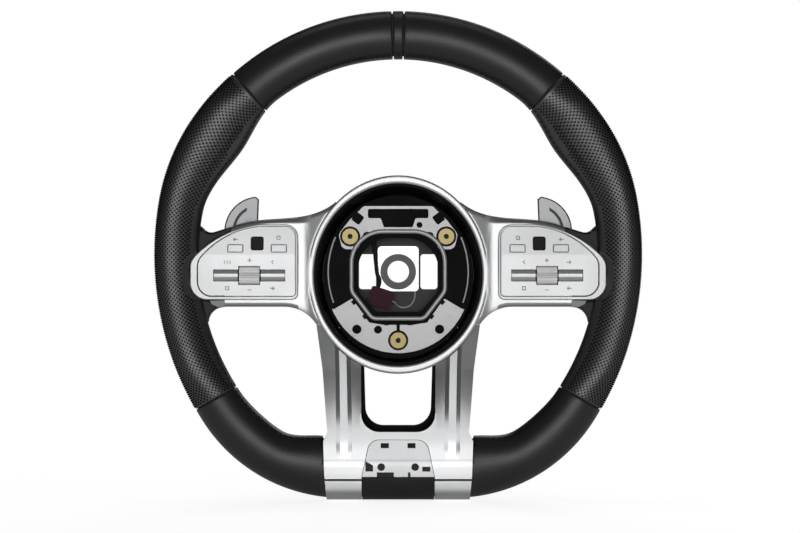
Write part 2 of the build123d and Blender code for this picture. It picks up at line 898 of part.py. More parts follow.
def front_half(face, limit):
    reach = rim_depth * 2
    keep = Pos(limit - reach, rim_bottom) * Rectangle(2 * reach, 4 * rim_top)
    return face & keep


def rim_low_body(inset):
    # The lower rim, drawn in from the leather's surface
    flat = along_x(rim_end_view(trim_proud + inset), -rim_flat_x, rim_flat_x)
    return flat + with_mirror(rim_body(inset) & rim_sector(lower_seam_heading, 180.0))


def lower_outline(inset):
    right = [
        (leg_outer[0] - inset, leg_top_z), (leg_outer[1] - inset, leg_mid_z),
        (leg_outer[2] - inset, leg_low_z),
        (foot_top[0] - inset, foot_top[1]), (foot_mid[0] - inset, foot_mid[1]),
        (foot_low[0] - inset, rim_bottom - rim_width_flat)]
    left = [(-x, z) for x, z in reversed(right)]
    return polygon(*right, *left)


def lower_opening(inset, taper=0.0):
    low = leg_low_z + inset
    top = leg_top_z + opening_corner
    half_low = leg_inner[2] - inset
    half_top = leg_inner[0] - inset + taper
    points = ((half_top, top), (half_low, low), (-half_low, low), (-half_top, top))
    return rounded_polygon(points, (0, opening_corner, opening_corner, 0))


def leg_section(level, inset, back):
    z = (leg_top_z, leg_mid_z, leg_low_z)[level]
    front = ridge_front(z) - trim_proud - leg_lift(z) + inset
    outer = leg_ridge_outer[level]
    inner = leg_ridge_inner[level]
    points = (
        (leg_outer[level] - inset, front + leg_outer_fall[level]),
        (outer + leg_ridge_flank, front + leg_outer_flank[level]), (outer, front),
        (inner, front), (inner - leg_ridge_flank, front + leg_inner_flank[level]),
        (leg_inner[level] + inset, front + leg_inner_fall[level]),
        (leg_inner[level] + inset, back), (leg_outer[level] - inset, back))
    return Plane.XY.offset(z) * polygon(*points)


def leg_lift(z):
    # The ridge rises from the trim's front as it runs down to the feet
    return leg_outer_fall[2] * (z - leg_top_z) / (leg_low_z - leg_top_z)


def ridge_section(z, lift):
    base = ridge_front(z) - trim_proud
    outer = leg_ridge_outer[2]
    inner = leg_ridge_inner[2]
    back = base + leg_wall / 2
    points = ((outer + leg_ridge_flank, back), (outer + leg_ridge_flank, base), (outer, base - lift),
              (inner, base - lift), (inner - leg_ridge_flank, base), (inner - leg_ridge_flank, back))
    return Plane.XY.offset(z) * polygon(*points)


def ridge_foot():
    # The ridge's end, which runs out on the foot
    sections = [ridge_section(leg_low_z, leg_lift(leg_low_z)), ridge_section(ridge_end_z, ridge_end_lift)]
    return loft(sections, ruled=True)


def leg_solid(inset, back):
    return loft([leg_section(level, inset, back) for level in range(3)], ruled=True)


def badge_outline(inset):
    top = plate_top_z - inset
    points = ((plate_half_low - inset, plate_low_z), (plate_half_top - inset, top),
              (inset - plate_half_top, top), (inset - plate_half_low, plate_low_z))
    return rounded_polygon(points, (0, plate_corner, plate_corner, 0))


def insert_outline(inset):
    half = plate_half_low - inset
    low = rim_bottom - rim_width_flat
    return polygon((half, plate_low_z - inset), (half, low), (-half, low), (-half, plate_low_z - inset))


def wrap_sheet(outer, inner, limit, outline):
    region = front_half(wrap_region(outer) - wrap_region(inner), limit)
    half = foot_top[0] + leg_wall
    front = rim_plane - rim_depth
    return along_x(region, -half, half) & prism(outline, front, rim_plane + rim_depth)


def foot_crease():
    # Shallow groove across the feet
    slab = Pos(0, foot_crease_z) * Rectangle(4 * foot_top[0], foot_crease_width)
    return wrap_sheet(trim_proud, trim_proud - foot_crease_depth, trim_wrap_back, slab)


def lower_spoke_trim():
    far_front = rim_plane - rim_depth
    leg = leg_solid(0.0, leg_back) - leg_solid(leg_wall, leg_back + leg_wall)
    below = Pos(0, leg_low_z + leg_wall - rim_top) * Rectangle(2 * rim_top, 2 * rim_top)
    low_part = lower_outline(0.0) & below
    trim = wrap_sheet(trim_proud, trim_proud - leg_wall, trim_wrap_back, low_part)
    trim += with_mirror(leg + ridge_foot())
    trim -= foot_crease()
    trim -= prism(lower_opening(0.0), far_front, rim_plane + rim_depth)
    trim -= prism(badge_outline(0.0) + insert_outline(0.0), far_front, rim_plane + rim_depth)
    trim -= rim_low_body(leather_thickness)
    return trim - ring_body(cover_gap, far_front, rim_plane + rim_depth)


def badge_plate():
    outer = trim_proud - plate_sunk
    plate = wrap_sheet(outer, outer - plate_thickness, rim_plane - leg_wall, badge_outline(trim_gap))
    far_front = rim_plane - rim_depth
    for side in (-1, 1):
        plate -= rod((side * badge_hole_spacing / 2, badge_hole_z), badge_hole_radius, far_front, rim_plane)
        slot = Pos(side * badge_slot_x, badge_slot_z) * Rectangle(*badge_slot_size)
        plate -= prism(slot, far_front, rim_plane)
    side_x, side_z, width, height = badge_side_hole
    cuts = polygon(*badge_corner_hole) + Pos(side_x, side_z) * Rectangle(width, height)
    for x, width in badge_notches:
        cuts += Pos(x, plate_low_z) * Rectangle(width, 2 * (badge_notch_top - plate_low_z))
    return plate - prism(cuts, far_front, rim_plane)


def bottom_insert():
    return wrap_sheet(trim_proud, trim_proud - leg_wall, trim_wrap_back, insert_outline(trim_gap))


# Casting, boss and hoop
arm_rise_x = ring_half_width + wing_wall + arm_clearance


def side_arm(grow):
    hoop_x = rim_edge(90.0)[0] - core_depth
    block = hoop_x - arm_end_length - grow
    neck_front = shroud_back + arm_clearance
    front = [(hub_half_width - hub_corner, hub_front), (arm_neck_x, hub_front),
             (arm_neck_x + arm_neck_run, neck_front), (shroud_half_width + arm_step, neck_front),
             (shroud_half_width + 2 * arm_step, arm_pass_front),
             (arm_rise_x, arm_pass_front), (panel_hub + border_hub, arm_front),
             (arm_bend_x, arm_front), (block, rim_plane), (hoop_x, rim_plane)]
    back = [(hoop_x, rim_plane + arm_end_length), (block, rim_plane + arm_end_length),
            (arm_bend_x, arm_back), (panel_hub + border_hub, arm_back),
            (arm_rise_x, arm_pass_back), (shroud_half_width, neck_front + arm_neck),
            (arm_neck_x + arm_neck_run / 2, hub_back), (hub_half_width - hub_corner, hub_back)]
    face = polygon(*front, *back)
    if grow > 0:
        face = offset(face, grow)
    arm = along_z(face, arm_low_z - grow, arm_top_z + grow)
    size = arm_end_length + grow
    middle_z = (arm_low_z + arm_top_z) / 2
    half = (arm_top_z - arm_low_z) / 2 + grow
    return arm + Pos(hoop_x, rim_plane, middle_z) * Box(2 * size, 2 * size, 2 * half)


def leg_arm(grow):
    hoop_z = rim_bottom + core_depth
    near = (leg_arm_x - leg_arm_half_width) / ring_half_width
    far = (leg_arm_x + leg_arm_half_width) / ring_half_width
    ring_low = ring_centre_z - ring_half_height * (1 - near ** 2) ** 0.5 - cover_gap
    ring_high = ring_centre_z - ring_half_height * (1 - far ** 2) ** 0.5 + 2 * ring_wall_ends
    thick = leg_arm_back - leg_arm_front
    pass_front = shroud_back + arm_clearance
    pass_back = pass_front + thick
    block = hoop_z + arm_end_length + grow
    front = [(hub_front, ring_high + 2 * thick), (hub_front, ring_high + thick),
             (pass_front, ring_high - thick), (pass_front, ring_low), (leg_arm_front, ring_low - 3 * thick),
             (leg_arm_front, block), (rim_plane, block), (rim_plane, hoop_z)]
    back = [(rim_plane + arm_end_length, hoop_z), (leg_arm_back, block), (leg_arm_back, ring_low - 4 * thick),
            (pass_back, ring_low - thick), (pass_back, ring_high - 2 * thick),
            (hub_back, ring_high), (hub_back, ring_high + 2 * thick)]
    face = polygon(*front, *back)
    if grow > 0:
        face = offset(face, grow)
    half = leg_arm_half_width + grow
    arm = along_x(face, leg_arm_x - half, leg_arm_x + half)
    size = arm_end_length + grow
    return arm + Pos(leg_arm_x, rim_plane, hoop_z) * Box(2 * half, 2 * size, 2 * size)


def casting_arms(grow):
    arms = side_arm(grow) + leg_arm(grow)
    return arms + mirrored(arms)


def hub_casting():
    plate_points = ((hub_half_width, hub_top), (hub_half_width, hub_low),
                    (-hub_half_width, hub_low), (-hub_half_width, hub_top))
    plate = prism(rounded_polygon(plate_points, hub_corner), hub_front, hub_back)
    for x, z in bush_places():
        plate += rod((x, z), post_radius + cover_wall, hub_front, hub_back)
        plate += rod((x, z), post_radius, post_top, hub_front)
    plate += casting_arms(0.0)
    for side in (-1, 1):
        middle = side * (window_inner + window_outer) / 2
        hole = rounded_rect(middle, 0, window_outer - window_inner, 2 * window_half_height, window_corner)
        plate -= prism(hole, hub_front, hub_back)
    plate -= prism(boss_outline(fit_gap), boss_front, hub_back)
    plate -= rod((0, 0), boss_neck_radius + fit_gap, hub_front, hub_back)
    return plate - rim_core(fit_gap)


def boss_outline(grow):
    points = ((boss_half_width + grow, boss_top + grow), (boss_half_width + grow, boss_low - grow),
              (-boss_half_width - grow, boss_low - grow), (-boss_half_width - grow, boss_top + grow))
    return rounded_polygon(points, boss_corner)


def hub_boss():
    boss = prism(boss_outline(0.0), boss_front, hub_back)
    boss += rod((0, 0), boss_collar_radius, boss_collar_front, boss_front)
    boss += rod((0, 0), boss_neck_radius, hub_back, boss_back)
    inner, outer = boss_groove
    groove = Circle(outer) - Circle(inner)
    boss -= prism(groove, boss_collar_front, boss_collar_front + boss_groove_depth)
    return boss - rod((0, 0), column_bore_radius, boss_collar_front, boss_back)


# Airbag carrier
def bush_places():
    x, z = bush_upper
    return ((-x, z), (x, z), bush_lower)


def wire_points(inset):
    wide = wire_half_width - inset
    foot = wire_foot - inset / 2
    top = wire_top - inset
    low = wire_low + inset
    return ((-wide, top), (wide, top), (wide, wire_bend_z), (foot, low), (-foot, low), (-wide, wire_bend_z))


def t_slot():
    right = [(slot_half_wide, slot_top), (slot_half_wide, slot_mid), (slot_half_narrow, slot_mid),
             (slot_half_foot, slot_low)]
    left = [(-x, z) for x, z in reversed(right)]
    return rounded_polygon((*right, *left), t_slot_corner)


def grommet_holes(front, back):
    holes = [rod(place, grommet_radius + fit_gap, front, back) for place in bush_places()]
    return holes[0] + holes[1] + holes[2]


plate_front = carrier_front - carrier_plate
wire_y = plate_front - wire_radius - fit_gap


def retaining_wire(grow=0.0):
    points = [(x, wire_y, z) for x, z in wire_points(0.0)]
    return swept(FilletPolyline(*points, radius=wire_corners, close=True), wire_radius + grow)


def carrier_clips(grow):
    # Tabs beside the wire, turned with its runs
    side = (wire_half_width, wire_bend_z)
    foot = (wire_foot, wire_low)
    run = (foot[0] - side[0], foot[1] - side[1])
    length = hypot(*run)
    turn = atan2(run[1], run[0]) * 180 / pi
    away = wire_radius + fit_gap + clip_size / 2
    places = [(clip_foot_x, wire_low - away, 0.0)]
    for step in clip_steps:
        places.append((side[0] + step * run[0] - away * run[1] / length,
                       side[1] + step * run[1] + away * run[0] / length, turn))
    size = clip_size + 2 * grow
    face = Sketch() + [Pos(x, z) * Rot(0, 0, angle) * Rectangle(size, size) for x, z, angle in places]
    return with_mirror(prism(face, wire_y, carrier_front))


def carrier_frame():
    area = Pos(0, ring_centre_z - shroud_drop) * Ellipse(carrier_half_width, carrier_half_height)
    frame = prism(area, carrier_front, carrier_back)
    frame -= prism(rounded_polygon(wire_points(3 * wire_radius), wire_corners), carrier_front, carrier_back)
    frame -= prism(t_slot(), carrier_front, carrier_back)
    frame -= grommet_holes(carrier_front, carrier_back)
    return frame + carrier_clips(0.0)


def add_raised_rings(plate, point):
    outer, inner = raised_ring
    x, z = point
    front = plate_front - raised_ring_height
    for side in (-1, 1):
        ring = rod((side * x, z), outer, front, plate_front) - rod((side * x, z), inner, front, plate_front)
        plate += ring
    return plate


def carrier_upper():
    side = [(upper_plate_half_top, upper_plate_top), upper_plate_shoulder, upper_plate_side, upper_plate_foot,
            (upper_plate_foot[0] - 2 * bush_radius, upper_plate_foot[1]),
            (upper_plate_half_top, upper_plate_edge)]
    other = [(-x, z) for x, z in reversed(side)]
    plain = upper_plate_rounding
    ear = upper_plate_ear
    radii = [plain, plain, ear, ear, plain, plain]
    plate = prism(rounded_polygon((*side, *other), (*radii, *reversed(radii))), plate_front, carrier_front)
    plate -= prism(t_slot(), plate_front, carrier_front)
    x, z, size, turn = square_hole
    for side_x in (-1, 1):
        hole = Pos(side_x * x, z) * Rot(0, 0, side_x * turn) * RectangleRounded(size, size, t_slot_corner)
        plate -= prism(hole, plate_front, carrier_front)
    plate -= rod(round_hole[:2], round_hole[2], plate_front, carrier_front)
    plate = add_raised_rings(plate, upper_ring)
    return plate - grommet_holes(plate_front, carrier_front)


def carrier_lower():
    reach = carrier_half_width * 2
    outer = Pos(0, lower_plate_centre_z) * Circle(lower_plate_radius)
    right = [lower_plate_end, lower_plate_tip, lower_plate_inner, lower_plate_bend,
             (lower_plate_bend[0] / 2, lower_plate_mid)]
    left = [(-x, z) for x, z in reversed(right)]
    area = polygon((reach, lower_plate_end[1]), *right, *left, (-reach, lower_plate_end[1]), (-reach, -reach),
                   (reach, -reach))
    raised = plate_front - carrier_plate / 2
    plate = prism(outer & area, plate_front, carrier_front)
    x, z, rim, hole = lower_clip
    rib_x, rib_z, length, width, turn = lower_rib
    for side in (-1, 1):
        rib = Pos(side * rib_x, rib_z) * Rot(0, 0, side * turn) * SlotOverall(length, width)
        plate += prism(rib, raised, carrier_front)
        plate += rod((side * x, z), rim, raised, carrier_front)
        plate -= rod((side * x, z), hole, raised, carrier_front)
    plate = add_raised_rings(plate, lower_ring)
    plate -= rod((-lower_hole[0], lower_hole[1]), lower_hole[2], plate_front, carrier_front)
    notch = Pos(0, bush_lower[1] / 2) * Rectangle(2 * lower_notch_half, -bush_lower[1])
    plate -= prism(notch, plate_front, carrier_front)
    return plate - grommet_holes(raised, carrier_front) - carrier_clips(fit_gap)


def guide_bushings():
    return [rod(place, bush_radius, bush_front, post_top) - rod(place, bush_bore_radius, bush_front, post_top)
            for place in bush_places()]


def bushing_grommets():
    rings = []
    for place in bush_places():
        hole = rod(place, bush_radius + fit_gap, grommet_front, post_top)
        rings.append(rod(place, grommet_radius, grommet_front, post_top) - hole)
    return rings


def side_springs():
    (x0, z0), (x2, z2) = spring_ends
    y = carrier_front - spring_radius - fit_gap
    arc = ThreePointArc((x0, y, z0), (spring_middle[0], y, spring_middle[1]), (x2, y, z2))
    spring = swept(arc, spring_radius)
    return [spring, mirrored(spring)]


def harness_block():
    return box_between((-block_half_width, carrier_back, block_low), (block_half_width, hub_front, block_top))


# Plug and leads
def plug_point(along, across):
    turn = radians(plug_turn)
    x = plug_centre[0] + along * cos(turn) - across * sin(turn)
    z = plug_centre[1] + along * sin(turn) + across * cos(turn)
    return x, z


def airbag_plug():
    length, across, deep = plug_size
    width, height = plug_rib
    back = boss_front - plug_gap
    turned = Pos(*plug_centre) * Rot(0, 0, plug_turn)
    plug = prism(turned * RectangleRounded(length, across, plug_corner), back - deep, back)
    for along in plug_rib_places:
        rib = turned * Pos(along, 0) * Rectangle(width, across - plug_corner)
        plug += prism(rib, back - deep - height, back - deep)
    return plug


def corner_radii(points):
    # Each bend is as large as its two runs allow
    radii = []
    for before, here, after in zip(points, points[1:], points[2:]):
        first = Vector(*here) - Vector(*before)
        second = Vector(*after) - Vector(*here)
        turn = radians(first.get_angle(second))
        radii.append(bend_share * min(first.length, second.length) / (sin(turn / 2) / cos(turn / 2)))
    return radii


def lead(points, radius):
    return swept(FilletPolyline(*points, radius=corner_radii(points)), radius)


def plug_lead():
    along = -plug_size[0] / 4
    across = plug_size[1] / 2
    ends = [plug_point(along, across + 3 * lead_radius), plug_point(along, across)]
    route = [(lead_points[0][0], block_low), *lead_points, *ends]
    return lead([(x, lead_y, z) for x, z in route], lead_radius)


def earth_wire():
    along = plug_size[0] / 2
    starts = [plug_point(along, 0), plug_point(along + 3 * earth_radius, 0)]
    route = [*starts, *earth_points, (earth_points[-1][0], boss_low)]
    start_y, end_y = earth_y
    last = len(starts)
    points = []
    for i, (x, z) in enumerate(route):
        points.append((x, start_y if i < last else end_y, z))
    return lead(points, earth_radius)


# Rear covers
def rear_cover_solid(grow):
    gap = cover_gap
    front = oval(ring_half_width - gap + grow, ring_half_height - gap + grow, ring_centre_z, ring_back + gap)
    back = oval(rear_cover_half_width + grow, rear_cover_half_height + grow, ring_centre_z, rear_cover_back)
    return loft([front, back])


def rear_hub_cover():
    shell = rear_cover_solid(0.0) - (rear_cover_solid(-cover_wall) & prism(
        Rectangle(4 * ring_half_width, 4 * ring_half_height), ring_back, rear_cover_back - cover_wall))
    shell -= rod((0, 0), rear_cover_hole, ring_back, rear_cover_back)
    return shell - casting_arms(arm_clearance)


def spoke_cover_back(x):
    start = ring_half_width
    share = (x - start) / (wing_low_outer[0] - start)
    return spoke_cover_hub_back + (spoke_cover_end_back - spoke_cover_hub_back) * share


def spoke_cover_block(inset):
    root = wing_low_root[0]
    end = wing_low_outer[0]
    front = ring_back + cover_gap - inset
    profile = polygon((root, front), (end, front), (end, spoke_cover_back(end) - inset),
                      (root, spoke_cover_back(root) - inset))
    reach = 2 * ring_half_height
    outline = wing_outline(cover_gap + inset)
    block = along_z(profile, -reach, reach) & prism(outline, ring_back - cover_wall, hub_back)
    return block - rear_cover_solid(cover_gap + inset)


def rear_spoke_cover():
    return spoke_cover_block(0.0) - spoke_cover_block(cover_wall) - casting_arms(arm_clearance)


def leg_hump(inset):
    # Side view of the cover behind the legs, drawn as (y, z)
    middle_z = rim_bottom + rim_width_flat / 2
    return polygon((leg_cover_hub_back - inset, leg_top_z), (leg_cover_end_back - inset, leg_low_z),
                   (leg_cover_end_back - inset, middle_z), (leg_back + cover_gap, middle_z),
                   (leg_back + cover_gap, leg_top_z))


def rim_end_view(inset):
    grow = trim_proud - inset
    middle_z = rim_bottom + rim_width_flat / 2
    return Pos(rim_plane, middle_z) * soft_oval(rim_depth / 2 + grow, rim_width_flat / 2 + grow)


def rear_lower_cover():
    half = foot_top[0]
    back = leg_cover_hub_back + cover_wall
    front = trim_wrap_back + cover_gap
    outline = lower_outline(cover_gap) - lower_opening(rear_opening_inset, rear_opening_taper)
    hollow = lower_outline(cover_gap + cover_wall) - lower_opening(
        rear_opening_inset - cover_wall, rear_opening_taper)
    cover = along_x(leg_hump(0.0), -half, half) & prism(outline, front, back)
    cover -= along_x(leg_hump(cover_wall), -half, half) & prism(hollow, front, back)
    cover += along_x(rim_end_view(0.0), -half, half) & prism(outline, front, back)
    cover -= rim_low_body(leather_thickness)
    cover -= ring_body(cover_gap, front, back)
    return cover - rear_cover_solid(cover_gap) - casting_arms(arm_clearance)


def cover_screws():
    ring = (rear_cover_hole + rear_cover_half_width) / 2
    screws = []
    for turn in (45, 135, 225, 315):
        place = (ring * cos(radians(turn)), ring * sin(radians(turn)))
        head = rod(place, screw_head_radius, rear_cover_back, rear_cover_back + screw_head_height)
        for slot_turn in (0, 90):
            slot = Rot(0, 0, slot_turn) * Rectangle(2 * screw_head_radius - screw_slot, screw_slot)
            head -= prism(Pos(*place) * slot, rear_cover_back + screw_head_height / 2,
                          rear_cover_back + screw_head_height)
        screws.append(head)
    return screws


def build():
    single = {
        "rim_core": rim_core, "rim_foam": rim_foam, "marker_band": marker_band, "hub_trim": hub_trim,
        "lower_spoke_trim": lower_spoke_trim, "badge_plate": badge_plate, "bottom_insert": bottom_insert,
        "hub_shroud": hub_shroud, "hub_casting": hub_casting, "hub_boss": hub_boss,
        "carrier_frame": carrier_frame, "carrier_upper": carrier_upper, "carrier_lower": carrier_lower,
        "guide_bushings": guide_bushings, "bushing_grommets": bushing_grommets,
        "retaining_wire": retaining_wire, "side_springs": side_springs, "harness_block": harness_block,
        "airbag_plug": airbag_plug,
        "plug_lead": plug_lead, "earth_wire": earth_wire, "rear_hub_cover": rear_hub_cover,
        "rear_lower_cover": rear_lower_cover, "cover_screws": cover_screws}
    paired = {
        "leather_top": leather_top, "leather_grip": leather_grip, "leather_lower": leather_lower,
        "switch_frame": switch_frame, "switch_face": switch_face, "switch_housing": switch_housing,
        "switch_board": switch_board, "rear_spoke_cover": rear_spoke_cover, "paddle_bracket": paddle_bracket,
        "paddle_pin": paddle_pin, "paddle": paddle, "roller": roller, "touch_pad": touch_pad}
    parts = {name: make() for name, make in single.items()}
    for name, make in paired.items():
        right = make()
        parts[name + "_right"] = right
        parts[name + "_left"] = mirrored(right)
    for place, side in (("outer", 1), ("inner", -1)):
        for name, make in (("rocker", rocker), ("button", button)):
            right = make(side)
            parts[name + "_right_" + place] = right
            parts[name + "_left_" + place] = mirrored(right)
    return parts


os.makedirs("parts", exist_ok=True)
for name, part in build().items():
    solids = part if isinstance(part, list) else [part]
    bodies = [solid for item in solids for solid in item.solids()]
    export_step(Compound(bodies) if len(bodies) > 1 else bodies[0], "parts/" + name + ".step")
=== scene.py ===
import bpy
import bmesh
from math import atan2, cos, hypot, pi, radians, sin
from mathutils import Matrix, Vector


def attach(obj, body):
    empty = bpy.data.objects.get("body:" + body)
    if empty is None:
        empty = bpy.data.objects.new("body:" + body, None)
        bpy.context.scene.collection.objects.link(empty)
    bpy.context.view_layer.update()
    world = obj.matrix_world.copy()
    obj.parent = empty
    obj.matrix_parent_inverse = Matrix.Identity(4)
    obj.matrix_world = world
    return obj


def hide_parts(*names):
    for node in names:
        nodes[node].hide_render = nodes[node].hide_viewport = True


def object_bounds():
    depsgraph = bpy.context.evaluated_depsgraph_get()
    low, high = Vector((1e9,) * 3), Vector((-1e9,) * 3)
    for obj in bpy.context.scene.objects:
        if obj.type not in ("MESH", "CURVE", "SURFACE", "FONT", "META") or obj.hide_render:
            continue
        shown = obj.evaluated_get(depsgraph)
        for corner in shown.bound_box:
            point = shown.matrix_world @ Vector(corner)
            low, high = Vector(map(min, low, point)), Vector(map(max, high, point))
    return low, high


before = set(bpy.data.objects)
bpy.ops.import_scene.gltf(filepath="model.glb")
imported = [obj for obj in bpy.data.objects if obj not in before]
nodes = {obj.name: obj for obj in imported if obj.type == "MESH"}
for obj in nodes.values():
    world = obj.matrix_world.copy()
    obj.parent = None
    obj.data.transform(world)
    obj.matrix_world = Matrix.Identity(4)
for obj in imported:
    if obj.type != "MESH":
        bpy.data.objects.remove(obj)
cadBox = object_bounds()
mm = 0.001
sides = {"right": 1, "left": -1}


# camera at the photo's angle, straight on from the driver's side
photo = {"centre": (0.0014, 0.0041), "away": 1.80, "plane": -0.058, "across": 0.616, "sensor": 36.0}
camData = bpy.data.cameras.new("photoCamera")
camData.sensor_width = photo["sensor"]
camData.lens = photo["sensor"] * photo["away"] / photo["across"]
camera = bpy.data.objects.new("photoCamera", camData)
camera.location = (photo["centre"][0], photo["plane"] - photo["away"], photo["centre"][1])
camera.rotation_euler = (pi / 2, 0, 0)
bpy.context.scene.collection.objects.link(camera)
bpy.context.scene.camera = camera
print("camera set")


# shader maths on sockets
class Flow:
    def __init__(self, tree, socket=None):
        self.tree = tree
        self.socket = socket

    def make(self, kind, settings=(), inputs=(), out=0):
        node = self.tree.nodes.new(kind)
        for key, value in dict(settings).items():
            setattr(node, key, value)
        for key, value in dict(inputs).items():
            if isinstance(value, Flow):
                self.tree.links.new(value.socket, node.inputs[key])
            else:
                node.inputs[key].default_value = value
        return Flow(self.tree, node.outputs[out])

    def math(self, operation, *others):
        return self.make("ShaderNodeMath", {"operation": operation}, enumerate((self, *others)))

    def band(self, low, high):
        inputs = {0: self, 1: low, 2: high}
        return self.make("ShaderNodeMapRange", {"interpolation_type": "SMOOTHSTEP"}, inputs)

    def __add__(self, other):
        return self.math("ADD", other)

    def __mul__(self, other):
        return self.math("MULTIPLY", other)

    def __sub__(self, other):
        return self.math("SUBTRACT", other)

    def __rsub__(self, other):
        return self.make("ShaderNodeMath", {"operation": "SUBTRACT"}, {0: other, 1: self})

    __radd__ = __add__
    __rmul__ = __mul__


def startMaterial(name, colour, roughness, metallic=0.0, specular=0.5):
    material = bpy.data.materials.new(name)
    material.use_nodes = True
    tree = material.node_tree
    shader = tree.nodes["Principled BSDF"]
    shader.inputs["Base Color"].default_value = (*colour, 1)
    shader.inputs["Roughness"].default_value = roughness
    shader.inputs["Metallic"].default_value = metallic
    shader.inputs["Specular IOR Level"].default_value = specular
    return material, Flow(tree), shader


def feed(flow, shader, socket):
    flow.tree.links.new(flow.socket, shader.inputs[socket])


def tint(flow, factor, first, second):
    inputs = {0: factor, 6: (*first, 1), 7: (*second, 1)}
    return flow.make("ShaderNodeMix", {"data_type": "RGBA"}, inputs, out=2)


def objectVector(flow):
    return flow.make("ShaderNodeTexCoord", {}, {}, out=3)


def objectPlace(flow):
    place = objectVector(flow)
    return [flow.make("ShaderNodeSeparateXYZ", {}, {0: place}, out=axis) for axis in range(3)]


def noise(flow, scale, detail=3.0):
    inputs = {"Vector": objectVector(flow), "Scale": scale, "Detail": detail}
    return flow.make("ShaderNodeTexNoise", {}, inputs)


def cells(flow, scale, feature="DISTANCE_TO_EDGE"):
    inputs = {"Vector": objectVector(flow), "Scale": scale}
    return flow.make("ShaderNodeTexVoronoi", {"feature": feature}, inputs)


def relief(flow, shader, height, depth, strength, normal=None):
    inputs = {"Strength": strength, "Distance": depth, "Height": height}
    if normal:
        inputs["Normal"] = normal
    feed(flow.make("ShaderNodeBump", {}, inputs), shader, "Normal")


# shading normals that soften some silver faces, in metres of the object
towardsDriver = (0, -1, 0)
footShade = {"rise": (0.144, 0.153), "fall": (0.165, 0.179), "share": 0.88, "way": (0, -0.999, 0.045)}
legRun = {"rise": (0.094, 0.124), "fall": (0.126, 0.137), "share": 0.9, "way": (0, -0.985, 0.17)}
legCrease = {"rise": (0.1572, 0.1588), "fall": (0.1590, 0.1606), "share": 0.9, "way": (0, -0.75, 0.66)}
rollerShade = {"share": 0.7}
rockerShade = {"middle": -0.0028, "bar": (0.0009, 0.0018), "front": -0.8, "roll": 0.30, "share": 0.92}
wingShade = {
    "fluteRise": (0.066, 0.068), "fluteFall": (0.0765, 0.0775), "fluteShare": 0.85,
    "ringHalf": (0.0691, 0.0763), "ringLow": 0.0021, "ringEdge": (0.985, 1.0), "ringShare": 0.6,
    "valleyRise": (0.995, 1.03), "valleyFall": (0.066, 0.075), "valleyWay": (0.45, -0.9), "valleyShare": 0.5,
    "bendOut": 0.106, "bendFall": 0.25, "edgeRise": (0.0362, 0.0395), "edgeOut": (0.062, 0.078),
    "edgeShare": 0.6, "edgeWay": (0, -0.70, 0.71),
}


def faceNormal(flow):
    return flow.make("ShaderNodeNewGeometry", {}, {}, out=1)


def turnNormal(flow, normal, share, towards):
    # the shading normal, turned by a share towards another direction
    mixed = flow.make("ShaderNodeMix", {"data_type": "VECTOR"}, {0: share, 4: normal, 5: towards}, out=1)
    return flow.make("ShaderNodeVectorMath", {"operation": "NORMALIZE"}, {0: mixed})


def between(value, rise, fall):
    return value.band(*rise) * (1 - value.band(*fall))


def shadeBand(flow, normal, down, shade):
    amount = between(down, shade["rise"], shade["fall"]) * shade["share"]
    return turnNormal(flow, normal, amount, shade["way"])


def legNormal(flow):
    # the legs' slopes run softly into the plate below them, and the feet roll under
    x, y, z = objectPlace(flow)
    normal = faceNormal(flow)
    for shade in (legRun, footShade, legCrease):
        normal = shadeBand(flow, normal, 0 - z, shade)
    return normal


def plateNormal(flow):
    x, y, z = objectPlace(flow)
    return shadeBand(flow, faceNormal(flow), 0 - z, footShade)


def rollerNormal(flow):
    # the fine ribs shine together
    return turnNormal(flow, faceNormal(flow), rollerShade["share"], towardsDriver)


def rockerNormal(flow):
    # a bright bar along the middle, and edges that roll away above and below it
    x, y, z = objectPlace(flow)
    away = z - rockerShade["middle"]
    edge = away.math("ABSOLUTE").band(*rockerShade["bar"])
    upward = away.math("SIGN") * rockerShade["roll"]
    rolled = flow.make("ShaderNodeCombineXYZ", {}, {0: 0.0, 1: rockerShade["front"], 2: upward})
    normal = turnNormal(flow, faceNormal(flow), rockerShade["share"], towardsDriver)
    return turnNormal(flow, normal, edge * rockerShade["share"], rolled)


def wingNormal(flow):
    # a flat flute, a soft valley beside the ring, and a top edge that leans back
    look = wingShade
    x, y, z = objectPlace(flow)
    out = x.math("ABSOLUTE")
    flute = between(out, look["fluteRise"], look["fluteFall"])
    normal = turnNormal(flow, faceNormal(flow), flute * look["fluteShare"], towardsDriver)
    halfWidth, halfHeight = look["ringHalf"]
    across = x * (1 / halfWidth)
    height = (z + look["ringLow"]) * (1 / halfHeight)
    ring = (across * across + height * height).math("SQRT")
    normal = turnNormal(flow, normal, (1 - ring.band(*look["ringEdge"])) * look["ringShare"], towardsDriver)
    valley = ring.band(*look["valleyRise"]) * (1 - out.band(*look["valleyFall"]))
    outward, forward = look["valleyWay"]
    sideways = flow.make("ShaderNodeCombineXYZ", {}, {0: x.math("SIGN") * outward, 1: forward, 2: 0.0})
    normal = turnNormal(flow, normal, valley * look["valleyShare"], sideways)
    raised = z + look["bendFall"] * (out - look["bendOut"]).math("MAXIMUM", 0.0)
    edge = raised.band(*look["edgeRise"]) * out.band(*look["edgeOut"])
    return turnNormal(flow, normal, edge * look["edgeShare"], look["edgeWay"])


leatherMix = {
    "mottleDetail": 4, "mottleBand": (0.3, 0.7), "pebbleBand": (0.0, 0.28), "fineScale": 3.2, "fineDetail": 2,
    "mottleTint": 0.6, "pebbleTint": 0.4, "fineRough": 0.10, "pebbleRough": 0.05, "mottleRough": 0.05,
    "pebbleHeight": 0.8, "fineHeight": 0.35,
}


